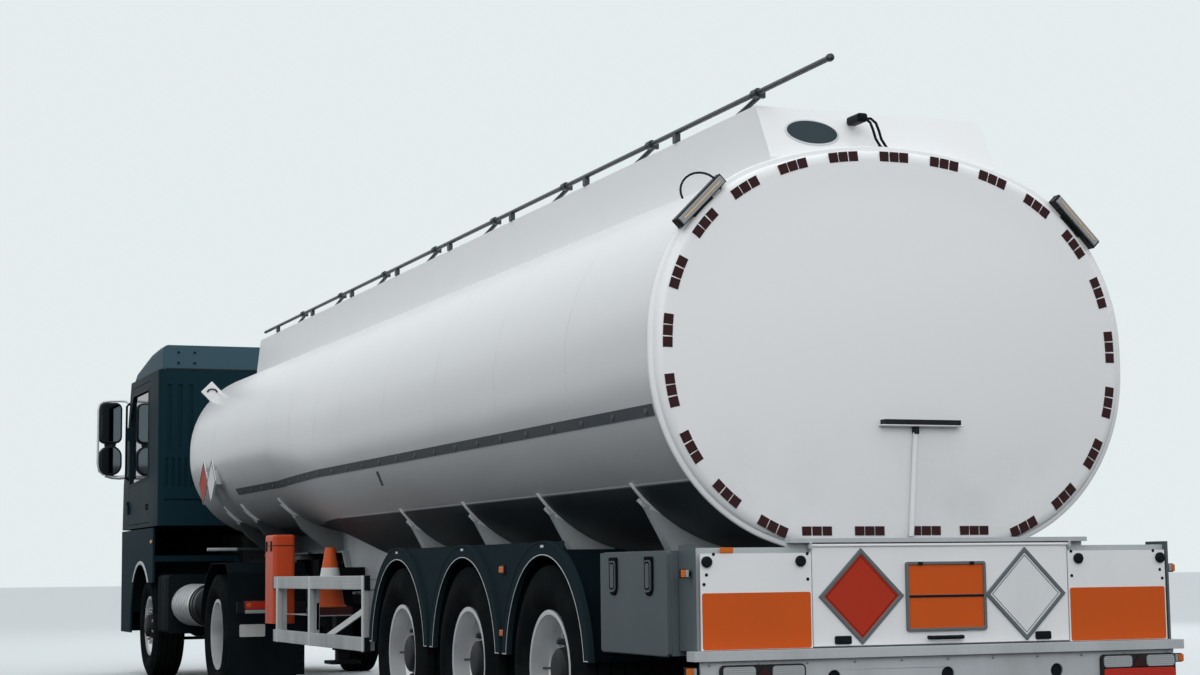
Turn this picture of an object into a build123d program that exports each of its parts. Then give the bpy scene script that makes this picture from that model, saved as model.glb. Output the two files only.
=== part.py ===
from build123d import *
from math import atan2, cos, degrees, hypot, radians, sin, sqrt
import os

# Articulated fuel tanker: a two-axle tractor unit pulling a three-axle tank semi-trailer.
# Millimetres. +X is forward, +Y is the lorry's left and +Z is up.
# The origin is on the ground, in the middle of the length and of the width.

# Places along the lorry, measured from the kingpin that hinges the two halves
PIN_X = 3125
PIN_TO_DRIVE = 600
WHEELBASE = 3800
FRONT_OVERHANG = 1390
PIN_TO_BOGIE = 7565
AXLE_GAP = 1310
PIN_TO_REAR = 10690

DRIVE_X = PIN_X - PIN_TO_DRIVE
STEER_X = DRIVE_X + WHEELBASE
NOSE_X = STEER_X + FRONT_OVERHANG
BOGIE_X = PIN_X - PIN_TO_BOGIE
REAR_X = PIN_X - PIN_TO_REAR
AXLES = [BOGIE_X + AXLE_GAP, BOGIE_X, BOGIE_X - AXLE_GAP]

HALF_W = 1250            # outer faces of the mudguards, lockers and rear beam
SEAT_GAP = 0.3           # between faces of bodies that move on each other
RUN = 0.08               # radial running clearance of a shaft in its bore

# Wheels: tyre radius, tyre width, rim width, disc depth in from the outer rim edge, tyre centre
TRAILER_R = 520
TRAILER_TYRE_W = 385
TRAILER_RIM_W = 298
TRAILER_TRACK = 2110
TRACTOR_R = 508
TRACTOR_TYRE_W = 315
TRACTOR_RIM_W = 229
STEER_TRACK = 2040
TWIN_GAP = 344           # between the middles of a pair of twin tyres
TWIN_OUTER_Y = 1088
BEAD_R = 286
FLANGE_R = 298.5
RIM_T = 11
DISC_T = 14
HUB_R = 118
SPINDLE_R = 45
NUT_CIRCLE_R = 167.5
NUT_COUNT = 10

# Tank barrel: an oval of four kinds of arc, deeper behind the cone than in front of it
TANK_HALF_W = 1228
TANK_NECK_HALF_W = 1165
TANK_TOP = 2957
TANK_BOTTOM = 1030
NECK_BOTTOM = 1290
TANK_SIDE_R = 3000
TANK_CROWN_R = 2000
TANK_CORNER_R = 860
NECK_CORNER_R = 730
PIN_TO_TANK_REAR = 10250
PIN_TO_CONE = 4040
CONE_L = 1800
TANK_NOSE = 960          # front end of the barrel, ahead of the kingpin
HEAD_FRONT = 290
HEAD_REAR = 55
BEAD_W = 34
BEAD_T = 12

TANK_REAR_X = PIN_X - PIN_TO_TANK_REAR
TANK_FRONT_X = PIN_X + TANK_NOSE
CONE_X0 = PIN_X - PIN_TO_CONE
CONE_X1 = CONE_X0 + CONE_L
TANK_MID_Z = (TANK_TOP + TANK_BOTTOM) / 2

# Top of the tank: coaming, manlids and the folded handrail
COAMING_Y = 600
COAMING_TOP = 3165
COAMING_T = 10
COAMING_X0 = PIN_X - 10070
COAMING_X1 = PIN_X + 560
COAMING_RAKE = 150
LID_R = 280
LID_COUNT = 5
LID_PITCH = 2050
RAIL_R = 21
RAIL_Z = COAMING_TOP + 57
RAIL_END = 10840         # rear end of the folded rail, behind the kingpin
RAIL_FRONT_X = PIN_X + 390
POST_COUNT = 8
POST_PITCH = 1285
POST_X0 = PIN_X - 10070
POST_L = 940
POST_DROP = 190
REST_AHEAD = 940

# Coupling
FIFTH_TOP = 1180
COUPLER_T = 14
PIN_NECK_R = 36.5
PIN_GROOVE_R = 25.4
PIN_DEPTH = 84

# Trailer frame
T_RAIL_Y = 450
T_RAIL_BOTTOM = 850
T_RAIL_T = 14
T_FLANGE_W = 120
NECK_X0 = PIN_X - 2350
NECK_X1 = PIN_X - 2080
RAIL_REAR_TOP = 1100     # top of the rails where they stand out behind the tank
SADDLE_W = 80            # between the outer faces of a saddle's two webs
WEB_T = 10
STRIP_T = 14             # the curved strips stand this far off the tank
SADDLES = [BOGIE_X + AXLE_GAP * k for k in (1.5, 0.5, -0.5, -1.5)]

# Tractor frame
RAIL_Y = 385
RAIL_FLANGE = 75
RAIL_T = 9
RAIL_Z0 = 690
RAIL_Z1 = 960
FRAME_REAR_X = PIN_X - 1420
FRAME_FRONT_X = NOSE_X - 330
COOLER_HALF_W = 600
COOLER_Z1 = 1440

# Cab
CAB_REAR_X = NOSE_X - 2390
CAB_HALF_W = 1245
CAB_Z0 = 1500
CAB_Z1 = 3035
CAB_ROOF_TOP = 3275
CAB_WALL = 55
SCREEN_FOOT_X = NOSE_X - 95
SCREEN_FOOT_Z = 2010
HEADER_X = NOSE_X - 520
CHIN_X = NOSE_X - 45
CORNER_R = 170
REAR_CORNER_R = 60
DOOR_GAP = 6
DOOR_X0 = STEER_X - 470
DOOR_X1 = HEADER_X - 70
DOOR_Z0 = 1545
DOOR_Z1 = 2960
GLASS_T = 6
ARCH_R = 620
ARCH_LIP = 34
ARCH_LIP_T = 8
ARCH_LIP_Z0 = 950
SILL_Z = 1485
MIRROR_Y0 = 1300
MIRROR_Y1 = 1560
KINGPIN_Y = 860          # steering pins of the front axle


def across(x):
    """Plane square to the lorry's length: local x is +Y, local y is +Z."""
    return Plane(origin=(x, 0, 0), x_dir=(0, 1, 0), z_dir=(1, 0, 0))


def beside(y):
    """Plane along the lorry's length: local x is +X, local y is +Z, extruding towards -Y."""
    return Plane(origin=(0, y, 0), x_dir=(1, 0, 0), z_dir=(0, -1, 0))


def write(piece, name):
    piece.part.label = name
    export_step(piece.part, f"parts/{name}.step")


def oval(half_w, top, bottom, side_r, crown_r, corner_r):
    """Closed oval in the local plane, from a side, a crown and a corner arc in each quarter."""
    mid, half_h = (top + bottom) / 2, (top - bottom) / 2
    side_c, crown_c = half_w - side_r, half_h - crown_r
    reach_s, reach_c = side_r - corner_r, crown_r - corner_r
    span = hypot(side_c, crown_c)
    along = (reach_s**2 - reach_c**2 + span**2) / (2 * span)
    off = sqrt(reach_s**2 - along**2)
    ux, uz = -side_c / span, crown_c / span
    corners = [(side_c + along * ux + s * off * uz, along * uz - s * off * ux) for s in (1, -1)]
    cx, cz = max(corners, key=sum)
    low = degrees(atan2(cz, cx - side_c))
    high = degrees(atan2(cz - crown_c, cx))
    CenterArc((side_c, mid), side_r, -low, 2 * low)
    CenterArc((cx, mid + cz), corner_r, low, high - low)
    CenterArc((0, mid + crown_c), crown_r, high, 180 - 2 * high)
    CenterArc((-cx, mid + cz), corner_r, 180 - high, high - low)
    CenterArc((-side_c, mid), side_r, 180 - low, 2 * low)
    CenterArc((-cx, mid - cz), corner_r, 180 + low, high - low)
    CenterArc((0, mid - crown_c), crown_r, 180 + high, 180 - 2 * high)
    CenterArc((cx, mid - cz), corner_r, -high, high - low)


REAR_OVAL = (TANK_HALF_W, TANK_TOP, TANK_BOTTOM, TANK_SIDE_R, TANK_CROWN_R, TANK_CORNER_R)
NECK_OVAL = (TANK_NECK_HALF_W, TANK_TOP, NECK_BOTTOM, TANK_SIDE_R, TANK_CROWN_R, NECK_CORNER_R)

os.makedirs("parts", exist_ok=True)

# Tank: rear barrel, cone and neck barrel in one, with pressed heads and a rolled rear bead
with BuildPart() as tank:
    with BuildSketch(across(TANK_REAR_X)):
        with BuildLine():
            oval(*REAR_OVAL)
        make_face()
    extrude(amount=CONE_X0 - TANK_REAR_X)
    for x, shape in ((CONE_X0, REAR_OVAL), (CONE_X1, NECK_OVAL)):
        with BuildSketch(across(x)):
            with BuildLine():
                oval(*shape)
            make_face()
    loft(ruled=True)
    with BuildSketch(across(CONE_X1)):
        with BuildLine():
            oval(*NECK_OVAL)
        make_face()
    extrude(amount=TANK_FRONT_X + HEAD_FRONT - CONE_X1)
    fillet(tank.faces().sort_by(Axis.X)[-1].edges(), HEAD_FRONT - 5)
    with BuildSketch(across(TANK_REAR_X)):
        with BuildLine():
            oval(*REAR_OVAL)
        make_face()
        offset(amount=-BEAD_T, mode=Mode.REPLACE)
    extrude(amount=-HEAD_REAR)
    fillet(tank.faces().sort_by(Axis.X)[0].edges(), HEAD_REAR - 4)
    with BuildSketch(across(TANK_REAR_X - BEAD_T)):
        with BuildLine():
            oval(*REAR_OVAL)
        make_face()
        offset(amount=BEAD_T, mode=Mode.REPLACE)
    extrude(amount=BEAD_W)
write(tank, "tank")

# Coaming: the raised gutter round the manlids, with raked ends and a walkway beside the lids
with BuildPart() as coaming:
    with BuildSketch(beside(COAMING_Y)):
        Polygon((COAMING_X0 - COAMING_RAKE, TANK_MID_Z), (COAMING_X1 + COAMING_RAKE, TANK_MID_Z),
                (COAMING_X1 + COAMING_RAKE, TANK_TOP - 60), (COAMING_X1, COAMING_TOP),
                (COAMING_X0, COAMING_TOP), (COAMING_X0 - COAMING_RAKE, TANK_TOP - 60), align=None)
    extrude(amount=2 * COAMING_Y)
    with BuildSketch(beside(COAMING_Y - COAMING_T)):
        Polygon((COAMING_X0 - COAMING_RAKE + COAMING_T, 0), (COAMING_X1 + COAMING_RAKE - COAMING_T, 0),
                (COAMING_X1 + COAMING_RAKE - COAMING_T, TANK_TOP - 60),
                (COAMING_X1 - COAMING_T, COAMING_TOP), (COAMING_X0 + COAMING_T, COAMING_TOP),
                (COAMING_X0 - COAMING_RAKE + COAMING_T, TANK_TOP - 60), align=None)
    extrude(amount=2 * (COAMING_Y - COAMING_T), mode=Mode.SUBTRACT)
    with BuildSketch(Plane.XY.offset(TANK_TOP + 22)):
        for y in (-1, 1):
            with Locations(((COAMING_X0 + COAMING_X1) / 2, y * (COAMING_Y - 110))):
                Rectangle(COAMING_X1 - COAMING_X0, 220)
    extrude(amount=8)
    add(tank.part, mode=Mode.SUBTRACT)
write(coaming, "coaming")

# Manlids: domed covers on neck rings, one over each compartment
with BuildPart() as manlids:
    lid_mid = (COAMING_X0 + COAMING_X1) / 2
    lid_places = [lid_mid + LID_PITCH * (i - (LID_COUNT - 1) / 2) for i in range(LID_COUNT)]
    with BuildSketch(Plane.XY.offset(TANK_TOP - 60)):
        with Locations(*[(x, 0) for x in lid_places]):
            Circle(LID_R - 25)
    extrude(amount=110)
    with BuildSketch(Plane.XY.offset(TANK_TOP + 50)):
        with Locations(*[(x, 0) for x in lid_places]):
            Circle(LID_R)
    extrude(amount=28)
    with BuildSketch(Plane.XY.offset(TANK_TOP + 78)):
        with Locations(*[(x, 0) for x in lid_places]):
            Circle(LID_R - 60)
    extrude(amount=40, taper=30)
    with BuildSketch(Plane.XY.offset(TANK_TOP + 50)):
        with Locations(*[(x + LID_R + 20, 0) for x in lid_places]):
            Rectangle(60, 90)
    extrude(amount=45)
    add(tank.part, mode=Mode.SUBTRACT)
write(manlids, "manlids")

# Handrail, folded down along the left edge: one long tube on folded posts and square rests
with BuildPart() as handrail:
    rail_y = COAMING_Y - COAMING_T / 2
    with BuildSketch(across(PIN_X - RAIL_END)):
        with Locations((rail_y, RAIL_Z)):
            Circle(RAIL_R)
    extrude(amount=RAIL_FRONT_X - PIN_X + RAIL_END)
    post_places = [POST_X0 + POST_PITCH * i for i in range(POST_COUNT)]
    with BuildSketch(beside(rail_y + 16)):
        with Locations(*[(x + REST_AHEAD, (COAMING_TOP + RAIL_Z) / 2) for x in post_places]):
            Rectangle(70, RAIL_Z - COAMING_TOP)
    extrude(amount=32)
    with BuildSketch(beside(rail_y - RAIL_R + 2)):
        for x in post_places:
            with BuildLine():
                Polyline((x - 30, RAIL_Z - 26), (x + 34, RAIL_Z + 14), (x + POST_L, RAIL_Z - POST_DROP + 20),
                         (x + POST_L - 20, RAIL_Z - POST_DROP - 20), close=True)
            make_face()
    extrude(amount=24)
    with BuildSketch(beside(COAMING_Y - COAMING_T)):
        with Locations(*[(x + POST_L - 10, RAIL_Z - POST_DROP) for x in post_places]):
            Circle(34)
    extrude(amount=50)
write(handrail, "handrail")

# Trailer frame: two rails that kick up over the tractor, cross members, saddles and outriggers
# Saddles of one height: oval they follow, foot and outer edge of the webs, tops of the aft and fore strips
REAR_SADDLE = (REAR_OVAL, [(T_RAIL_Y, T_RAIL_BOTTOM + COUPLER_T), (840, 1090), (887, 1180), (952, 1296),
                           (985, 1345), (T_RAIL_Y, 1345)], 1420, 1340)
NECK_SADDLE = (NECK_OVAL, [(T_RAIL_Y, FIFTH_TOP + SEAT_GAP), (560, FIFTH_TOP + SEAT_GAP), (790, 1370),
                           (870, 1490), (930, 1560), (T_RAIL_Y, 1560)], 1620, 1575)
SADDLE_SETS = [*[(x, *REAR_SADDLE) for x in SADDLES],
               *[(PIN_X - back, *NECK_SADDLE) for back in (1875, 445, -275)]]
ROD_X = PIN_X + 360
ROD_Z = 1240
with BuildPart() as trailer_frame:
    rail_top = NECK_BOTTOM + 120
    frame_x1 = PIN_X + 650
    rail_step = TANK_REAR_X + 60
    for side in (1, -1):
        with BuildSketch(beside(side * T_RAIL_Y + T_RAIL_T / 2)):
            Polygon((REAR_X + 100, T_RAIL_BOTTOM), (NECK_X0, T_RAIL_BOTTOM), (NECK_X1, FIFTH_TOP + SEAT_GAP),
                    (frame_x1, FIFTH_TOP + SEAT_GAP), (frame_x1, rail_top), (rail_step, rail_top),
                    (rail_step, RAIL_REAR_TOP), (REAR_X + 100, RAIL_REAR_TOP), align=None)
        extrude(amount=T_RAIL_T)
        with BuildSketch(beside(side * T_RAIL_Y + T_FLANGE_W / 2)):
            Polygon((REAR_X + 100, T_RAIL_BOTTOM), (NECK_X0, T_RAIL_BOTTOM), (NECK_X1, FIFTH_TOP + SEAT_GAP),
                    (frame_x1, FIFTH_TOP + SEAT_GAP), (frame_x1, FIFTH_TOP + SEAT_GAP + COUPLER_T),
                    (NECK_X1 - 6, FIFTH_TOP + SEAT_GAP + COUPLER_T), (NECK_X0 - 6, T_RAIL_BOTTOM + COUPLER_T),
                    (REAR_X + 100, T_RAIL_BOTTOM + COUPLER_T), align=None)
        extrude(amount=T_FLANGE_W)
    # cross members between the rails
    for x in [REAR_X + 130, AXLES[2] - 500, *SADDLES, NECK_X0 - 150]:
        with BuildSketch(across(x)):
            with Locations((0, T_RAIL_BOTTOM + 70)):
                Rectangle(2 * T_RAIL_Y, 110)
        extrude(amount=12)
    # saddles: a pair of webs with a flange along their outer edge, and a curved strip up the tank on each
    for x, shape, web, aft_top, fore_top in SADDLE_SETS:
        for side in (1, -1):
            outline = [(side * y, z) for y, z in web]
            edge = outline[1:-1]
            for place, strip_top in ((x - SADDLE_W / 2, aft_top), (x + SADDLE_W / 2 - WEB_T, fore_top)):
                with BuildSketch(across(place)):
                    with BuildLine():
                        oval(*shape)
                    make_face()
                    offset(amount=STRIP_T, mode=Mode.REPLACE)
                    with Locations((side * T_RAIL_Y, strip_top)):
                        Rectangle(1000, 400, align=(Align.MIN if side > 0 else Align.MAX, Align.MAX),
                                  mode=Mode.INTERSECT)
                    Polygon(*outline, align=None)
                extrude(amount=WEB_T)
            with BuildSketch(across(x - SADDLE_W / 2)):
                Polygon(*edge, *[(y - side * WEB_T, z + WEB_T) for y, z in reversed(edge)], align=None)
            extrude(amount=SADDLE_W)
    # rod across the neck behind the cab
    with BuildSketch(beside(1120)):
        with Locations((ROD_X, ROD_Z)):
            Circle(15)
    extrude(amount=2 * 1120)
    # coupler plate and kingpin
    with BuildSketch(Plane.XY.offset(FIFTH_TOP + SEAT_GAP)):
        with Locations((PIN_X - 200, 0)):
            Rectangle(1700, 1080)
    extrude(amount=COUPLER_T)
    with Locations((PIN_X, 0, FIFTH_TOP + SEAT_GAP)):
        Cylinder(PIN_NECK_R, 34, align=(Align.CENTER, Align.CENTER, Align.MAX))
        Cylinder(PIN_GROOVE_R, PIN_DEPTH, align=(Align.CENTER, Align.CENTER, Align.MAX))
    with Locations((PIN_X, 0, FIFTH_TOP + SEAT_GAP - PIN_DEPTH)):
        Cylinder(PIN_NECK_R - 1, 18, align=(Align.CENTER, Align.CENTER, Align.MIN))
    # rear cross wall that carries the sign boards and the beam
    with BuildSketch(across(REAR_X + 85)):
        with Locations((0, 880)):
            Rectangle(2 * HALF_W - 120, 440)
        with Locations((0, 880)):
            Rectangle(2 * T_RAIL_Y - 60, 330, mode=Mode.SUBTRACT)
    extrude(amount=25)
    add(tank.part, mode=Mode.SUBTRACT)
write(trailer_frame, "trailer_frame")

# Trailer axles: beam, trailing arms, air springs and brake drums under the rails
with BuildPart() as trailer_axles:
    for x in AXLES:
        with BuildSketch(Plane(origin=(x, -930, TRAILER_R), x_dir=(1, 0, 0), z_dir=(0, 1, 0))):
            Circle(66)
        extrude(amount=1860)
        with BuildSketch(Plane(origin=(x, -1120, TRAILER_R), x_dir=(1, 0, 0), z_dir=(0, 1, 0))):
            Circle(SPINDLE_R)
        extrude(amount=2240)
        for side in (1, -1):
            drum_y = side * 885
            with BuildSketch(Plane(origin=(x, drum_y, TRAILER_R), x_dir=(1, 0, 0), z_dir=(0, side, 0))):
                Circle(205)
            extrude(amount=125)
            with BuildSketch(beside(side * T_RAIL_Y + 45)):
                Polygon((x - 430, TRAILER_R + 10), (x - 430, TRAILER_R + 50), (x - 80, TRAILER_R + 95),
                        (x + 120, TRAILER_R + 95), (x + 520, TRAILER_R + 70), (x + 520, TRAILER_R + 20),
                        (x + 80, TRAILER_R - 20), (x - 80, TRAILER_R - 20), align=None)
            extrude(amount=90)
            with BuildSketch(beside(side * T_RAIL_Y + 60)):
                Polygon((x + 460, T_RAIL_BOTTOM), (x + 600, T_RAIL_BOTTOM), (x + 560, TRAILER_R - 20),
                        (x + 480, TRAILER_R - 20), align=None)
            extrude(amount=120)
            with BuildSketch(Plane.XY.offset(TRAILER_R + 30)):
                with Locations((x - 330, side * T_RAIL_Y)):
                    Circle(130)
            extrude(amount=T_RAIL_BOTTOM - TRAILER_R - 30)
write(trailer_axles, "trailer_axles")


# Wheels: tyre and rim turned about the axle, w outboard from the tyre's middle, r from the axle
def wheel_plane(x, y, z, side):
    return Plane(origin=(x, y, z), x_dir=(0, side, 0), z_dir=(side, 0, 0))


def tyre_outline(outer_r, width, rim_w):
    b, seat = rim_w / 2, BEAD_R + SEAT_GAP
    tread = width / 2 - 36
    foot, shoulder = FLANGE_R + 3, outer_r - 30
    Polyline((b, foot), (b, seat), (-b, seat), (-b, foot))
    ThreePointArc((-b, foot), (-width / 2, (foot + shoulder) / 2), (-tread - 14, shoulder))
    Polyline((-tread - 14, shoulder), (-tread, outer_r), (tread, outer_r), (tread + 14, shoulder))
    ThreePointArc((tread + 14, shoulder), (width / 2, (foot + shoulder) / 2), (b, foot))


def rim_outline(rim_w, disc_w, hub_in, hub_out):
    """Barrel with two flanges, a flat disc whose outer face is at disc_w, and the hub."""
    b, inner = rim_w / 2, BEAD_R - RIM_T
    bore = SPINDLE_R + RUN
    Polyline((-b - RIM_T, inner), (-b - RIM_T, FLANGE_R), (-b, FLANGE_R), (-b, BEAD_R), (b, BEAD_R),
             (b, FLANGE_R), (b + RIM_T, FLANGE_R), (b + RIM_T, inner), (disc_w + 30, inner),
             (disc_w, inner - 30), (disc_w, HUB_R + 25), (disc_w + 10, HUB_R), (hub_out - 15, HUB_R - 12),
             (hub_out, HUB_R - 40), (hub_out, 0), (hub_out - 20, 0), (hub_out - 20, bore), (hub_in, bore),
             (hub_in, HUB_R + 20), (disc_w - DISC_T, HUB_R + 60), (disc_w - DISC_T, inner - 30),
             (disc_w - DISC_T - 20, inner), close=True)


# name, axle x, tyre middle y, side, disc face, hub inner face, hub outer face
trailer_wheel_y = TRAILER_TRACK / 2
for number, x in enumerate(AXLES, 1):
    for side, hand in ((1, "left"), (-1, "right")):
        place = wheel_plane(x, side * trailer_wheel_y, TRAILER_R, side)
        turn = Axis((x, 0, TRAILER_R), (0, 1, 0))
        with BuildPart() as tyre:
            with BuildSketch(place):
                with BuildLine():
                    tyre_outline(TRAILER_R, TRAILER_TYRE_W, TRAILER_RIM_W)
                make_face()
            revolve(axis=turn)
        write(tyre, f"trailer_tyre_{number}_{hand}")
        with BuildPart() as rim:
            with BuildSketch(place):
                with BuildLine():
                    rim_outline(TRAILER_RIM_W, 35, -30, 125)
                make_face()
            revolve(axis=turn)
            with BuildSketch(Plane(origin=(x, side * (trailer_wheel_y + 60), TRAILER_R), x_dir=(1, 0, 0),
                                   z_dir=(0, -side, 0))):
                with PolarLocations(226, NUT_COUNT):
                    Circle(26)
            extrude(amount=60, mode=Mode.SUBTRACT)
        write(rim, f"trailer_rim_{number}_{hand}")

# Steered wheels: the disc is bulged outwards, so the nuts stand near the tyre's outer face
for side, hand in ((1, "left"), (-1, "right")):
    y = side * STEER_TRACK / 2
    place = wheel_plane(STEER_X, y, TRACTOR_R, side)
    turn = Axis((STEER_X, 0, TRACTOR_R), (0, 1, 0))
    with BuildPart() as tyre:
        with BuildSketch(place):
            with BuildLine():
                tyre_outline(TRACTOR_R, TRACTOR_TYRE_W, TRACTOR_RIM_W)
            make_face()
        revolve(axis=turn)
    write(tyre, f"front_tyre_{hand}")
    with BuildPart() as rim:
        with BuildSketch(place):
            with BuildLine():
                rim_outline(TRACTOR_RIM_W, 75, -20, 165)
            make_face()
        revolve(axis=turn)
        with BuildSketch(Plane(origin=(STEER_X, y + side * 100, TRACTOR_R), x_dir=(1, 0, 0),
                               z_dir=(0, -side, 0))):
            with PolarLocations(226, NUT_COUNT):
                Circle(26)
        extrude(amount=60, mode=Mode.SUBTRACT)
    write(rim, f"front_rim_{hand}")

# Drive wheels: twins on one hub, the outer rim dished deeply
for side, hand in ((1, "left"), (-1, "right")):
    turn = Axis((DRIVE_X, 0, TRACTOR_R), (0, 1, 0))
    with BuildPart() as tyre:
        for y in (TWIN_OUTER_Y, TWIN_OUTER_Y - TWIN_GAP):
            with BuildSketch(wheel_plane(DRIVE_X, side * y, TRACTOR_R, side)):
                with BuildLine():
                    tyre_outline(TRACTOR_R, TRACTOR_TYRE_W, TRACTOR_RIM_W)
                make_face()
        revolve(axis=turn)
    write(tyre, f"drive_tyres_{hand}")
    with BuildPart() as rim:
        with BuildSketch(wheel_plane(DRIVE_X, side * TWIN_OUTER_Y, TRACTOR_R, side)):
            with BuildLine():
                rim_outline(TRACTOR_RIM_W, -75, -190, 60)
            make_face()
        with BuildSketch(wheel_plane(DRIVE_X, side * (TWIN_OUTER_Y - TWIN_GAP), TRACTOR_R, side)):
            b, inner = TRACTOR_RIM_W / 2, BEAD_R - RIM_T
            Polygon((-b - RIM_T, inner), (-b - RIM_T, FLANGE_R), (-b, FLANGE_R), (-b, BEAD_R), (b, BEAD_R),
                    (b, FLANGE_R), (b + RIM_T, FLANGE_R), (b + RIM_T, inner), align=None)
            with Locations((TWIN_GAP / 2, FLANGE_R - 5)):
                Rectangle(TWIN_GAP - TRACTOR_RIM_W - 2 * RIM_T + 2, 9)
        revolve(axis=turn)
        with BuildSketch(Plane(origin=(DRIVE_X, side * (TWIN_OUTER_Y - 40), TRACTOR_R), x_dir=(1, 0, 0),
                               z_dir=(0, -side, 0))):
            with PolarLocations(226, NUT_COUNT):
                Circle(26)
        extrude(amount=80, mode=Mode.SUBTRACT)
    write(rim, f"drive_rims_{hand}")

# Trailer mudguards: three arches a side, with an infill plate in the gaps between them
GUARD_R = TRAILER_R + 65
GUARD_LIP = 55
GUARD_INNER_LIP = 20
GUARD_Z0 = 580
INFILL_Z0 = 640
INFILL_Z1 = 1155
with BuildPart() as trailer_mudguards:
    for side in (1, -1):
        for x in AXLES:
            with BuildSketch(beside(side * HALF_W)):
                with Locations((x, TRAILER_R)):
                    Circle(GUARD_R + GUARD_LIP)
                    Circle(GUARD_R - GUARD_INNER_LIP, mode=Mode.SUBTRACT)
                with Locations((x, GUARD_Z0)):
                    Rectangle(3 * GUARD_R, 2 * GUARD_R, align=(Align.CENTER, Align.MAX), mode=Mode.SUBTRACT)
            extrude(amount=side * 30)
            with BuildSketch(beside(side * HALF_W)):
                with Locations((x, TRAILER_R)):
                    Circle(GUARD_R + 12)
                    Circle(GUARD_R, mode=Mode.SUBTRACT)
                with Locations((x, GUARD_Z0)):
                    Rectangle(3 * GUARD_R, 2 * GUARD_R, align=(Align.CENTER, Align.MAX), mode=Mode.SUBTRACT)
            extrude(amount=side * (HALF_W - 840))
        with BuildSketch(beside(side * (HALF_W - 20))):
            with Locations((BOGIE_X, (INFILL_Z0 + INFILL_Z1) / 2)):
                Rectangle(2 * AXLE_GAP + 500, INFILL_Z1 - INFILL_Z0)
            with Locations(*[(x, TRAILER_R) for x in AXLES]):
                Circle(GUARD_R + 2, mode=Mode.SUBTRACT)
        extrude(amount=side * 8)
        # stays from the frame rail: bars to the side panel and round ones to the two ends
        with BuildSketch(beside(side * (HALF_W - 28))):
            with Locations((SADDLES[1] + 70, 905), (SADDLES[2] + 70, 905)):
                Rectangle(40, 50)
        extrude(amount=side * (HALF_W - 28 - T_RAIL_Y - T_RAIL_T / 2))
        stay_c, stay_s = (GUARD_R + 6) * cos(radians(40)), (GUARD_R + 6) * sin(radians(40))
        with BuildSketch(beside(side * 860)):
            with Locations((AXLES[0] + stay_c, TRAILER_R + stay_s), (AXLES[2] - stay_c, TRAILER_R + stay_s)):
                Circle(18)
        extrude(amount=side * (860 - T_RAIL_Y - T_RAIL_T / 2))
write(trailer_mudguards, "trailer_mudguards")

# Side guards: two aluminium rails on uprights, hung from brackets off the frame
GUARD_X0 = PIN_X - 5505
GUARD_X1 = PIN_X - 2880
GUARD_RAIL_H = 90
GUARD_RAIL_T = 34
TRAY_Z = 712
TRAY_T = 6
with BuildPart() as side_guards:
    posts = [GUARD_X0 + 40, GUARD_X0 + 1500, GUARD_X1 - 120]
    for side in (1, -1):
        with BuildSketch(beside(side * HALF_W)):
            for z in (950, 555):
                with Locations(((GUARD_X0 + GUARD_X1) / 2, z)):
                    Rectangle(GUARD_X1 - GUARD_X0, GUARD_RAIL_H)
            with Locations(*[(x, 752) for x in posts]):
                Rectangle(60, 395)
        extrude(amount=side * GUARD_RAIL_T)
        with BuildSketch(beside(side * (HALF_W - GUARD_RAIL_T))):
            with Locations(*[(x, 935) for x in posts]):
                Rectangle(60, 60)
        extrude(amount=side * (HALF_W - GUARD_RAIL_T - T_RAIL_Y - T_RAIL_T / 2))
        with BuildSketch(beside(side * (HALF_W - GUARD_RAIL_T))):
            with Locations(*[(x, 735) for x in posts]):
                Rectangle(40, 440)
        extrude(amount=side * 40)
    with BuildSketch(Plane.XY.offset(TRAY_Z)):
        with Locations(((posts[1] + posts[2]) / 2, 1020)):
            Rectangle(posts[2] - posts[1] + 40, 320)
    extrude(amount=TRAY_T)
write(side_guards, "side_guards")

# Landing legs, wound up: square legs with feet and the shaft that turns them together
LEG_X = PIN_X - 2520
LEG_Y = 620
with BuildPart() as landing_legs:
    for side in (1, -1):
        with BuildSketch(Plane.XY.offset(420)):
            with Locations((LEG_X, side * LEG_Y)):
                Rectangle(130, 130)
        extrude(amount=640)
        with BuildSketch(Plane.XY.offset(340)):
            with Locations((LEG_X, side * LEG_Y)):
                Rectangle(95, 95)
        extrude(amount=80)
        with BuildSketch(Plane.XY.offset(315)):
            with Locations((LEG_X, side * LEG_Y)):
                RectangleRounded(270, 240, 40)
        extrude(amount=25)
        with BuildSketch(beside(side * (T_RAIL_Y + T_RAIL_T / 2))):
            Polygon((LEG_X - 65, 870), (LEG_X + 65, 870), (LEG_X + 65, 1060), (LEG_X - 65, 1060), align=None)
        extrude(amount=-side * (LEG_Y - T_RAIL_Y - T_RAIL_T / 2))
    with BuildSketch(beside(LEG_Y)):
        with Locations((LEG_X, 760)):
            Circle(17)
    extrude(amount=2 * LEG_Y)
write(landing_legs, "landing_legs")

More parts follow.
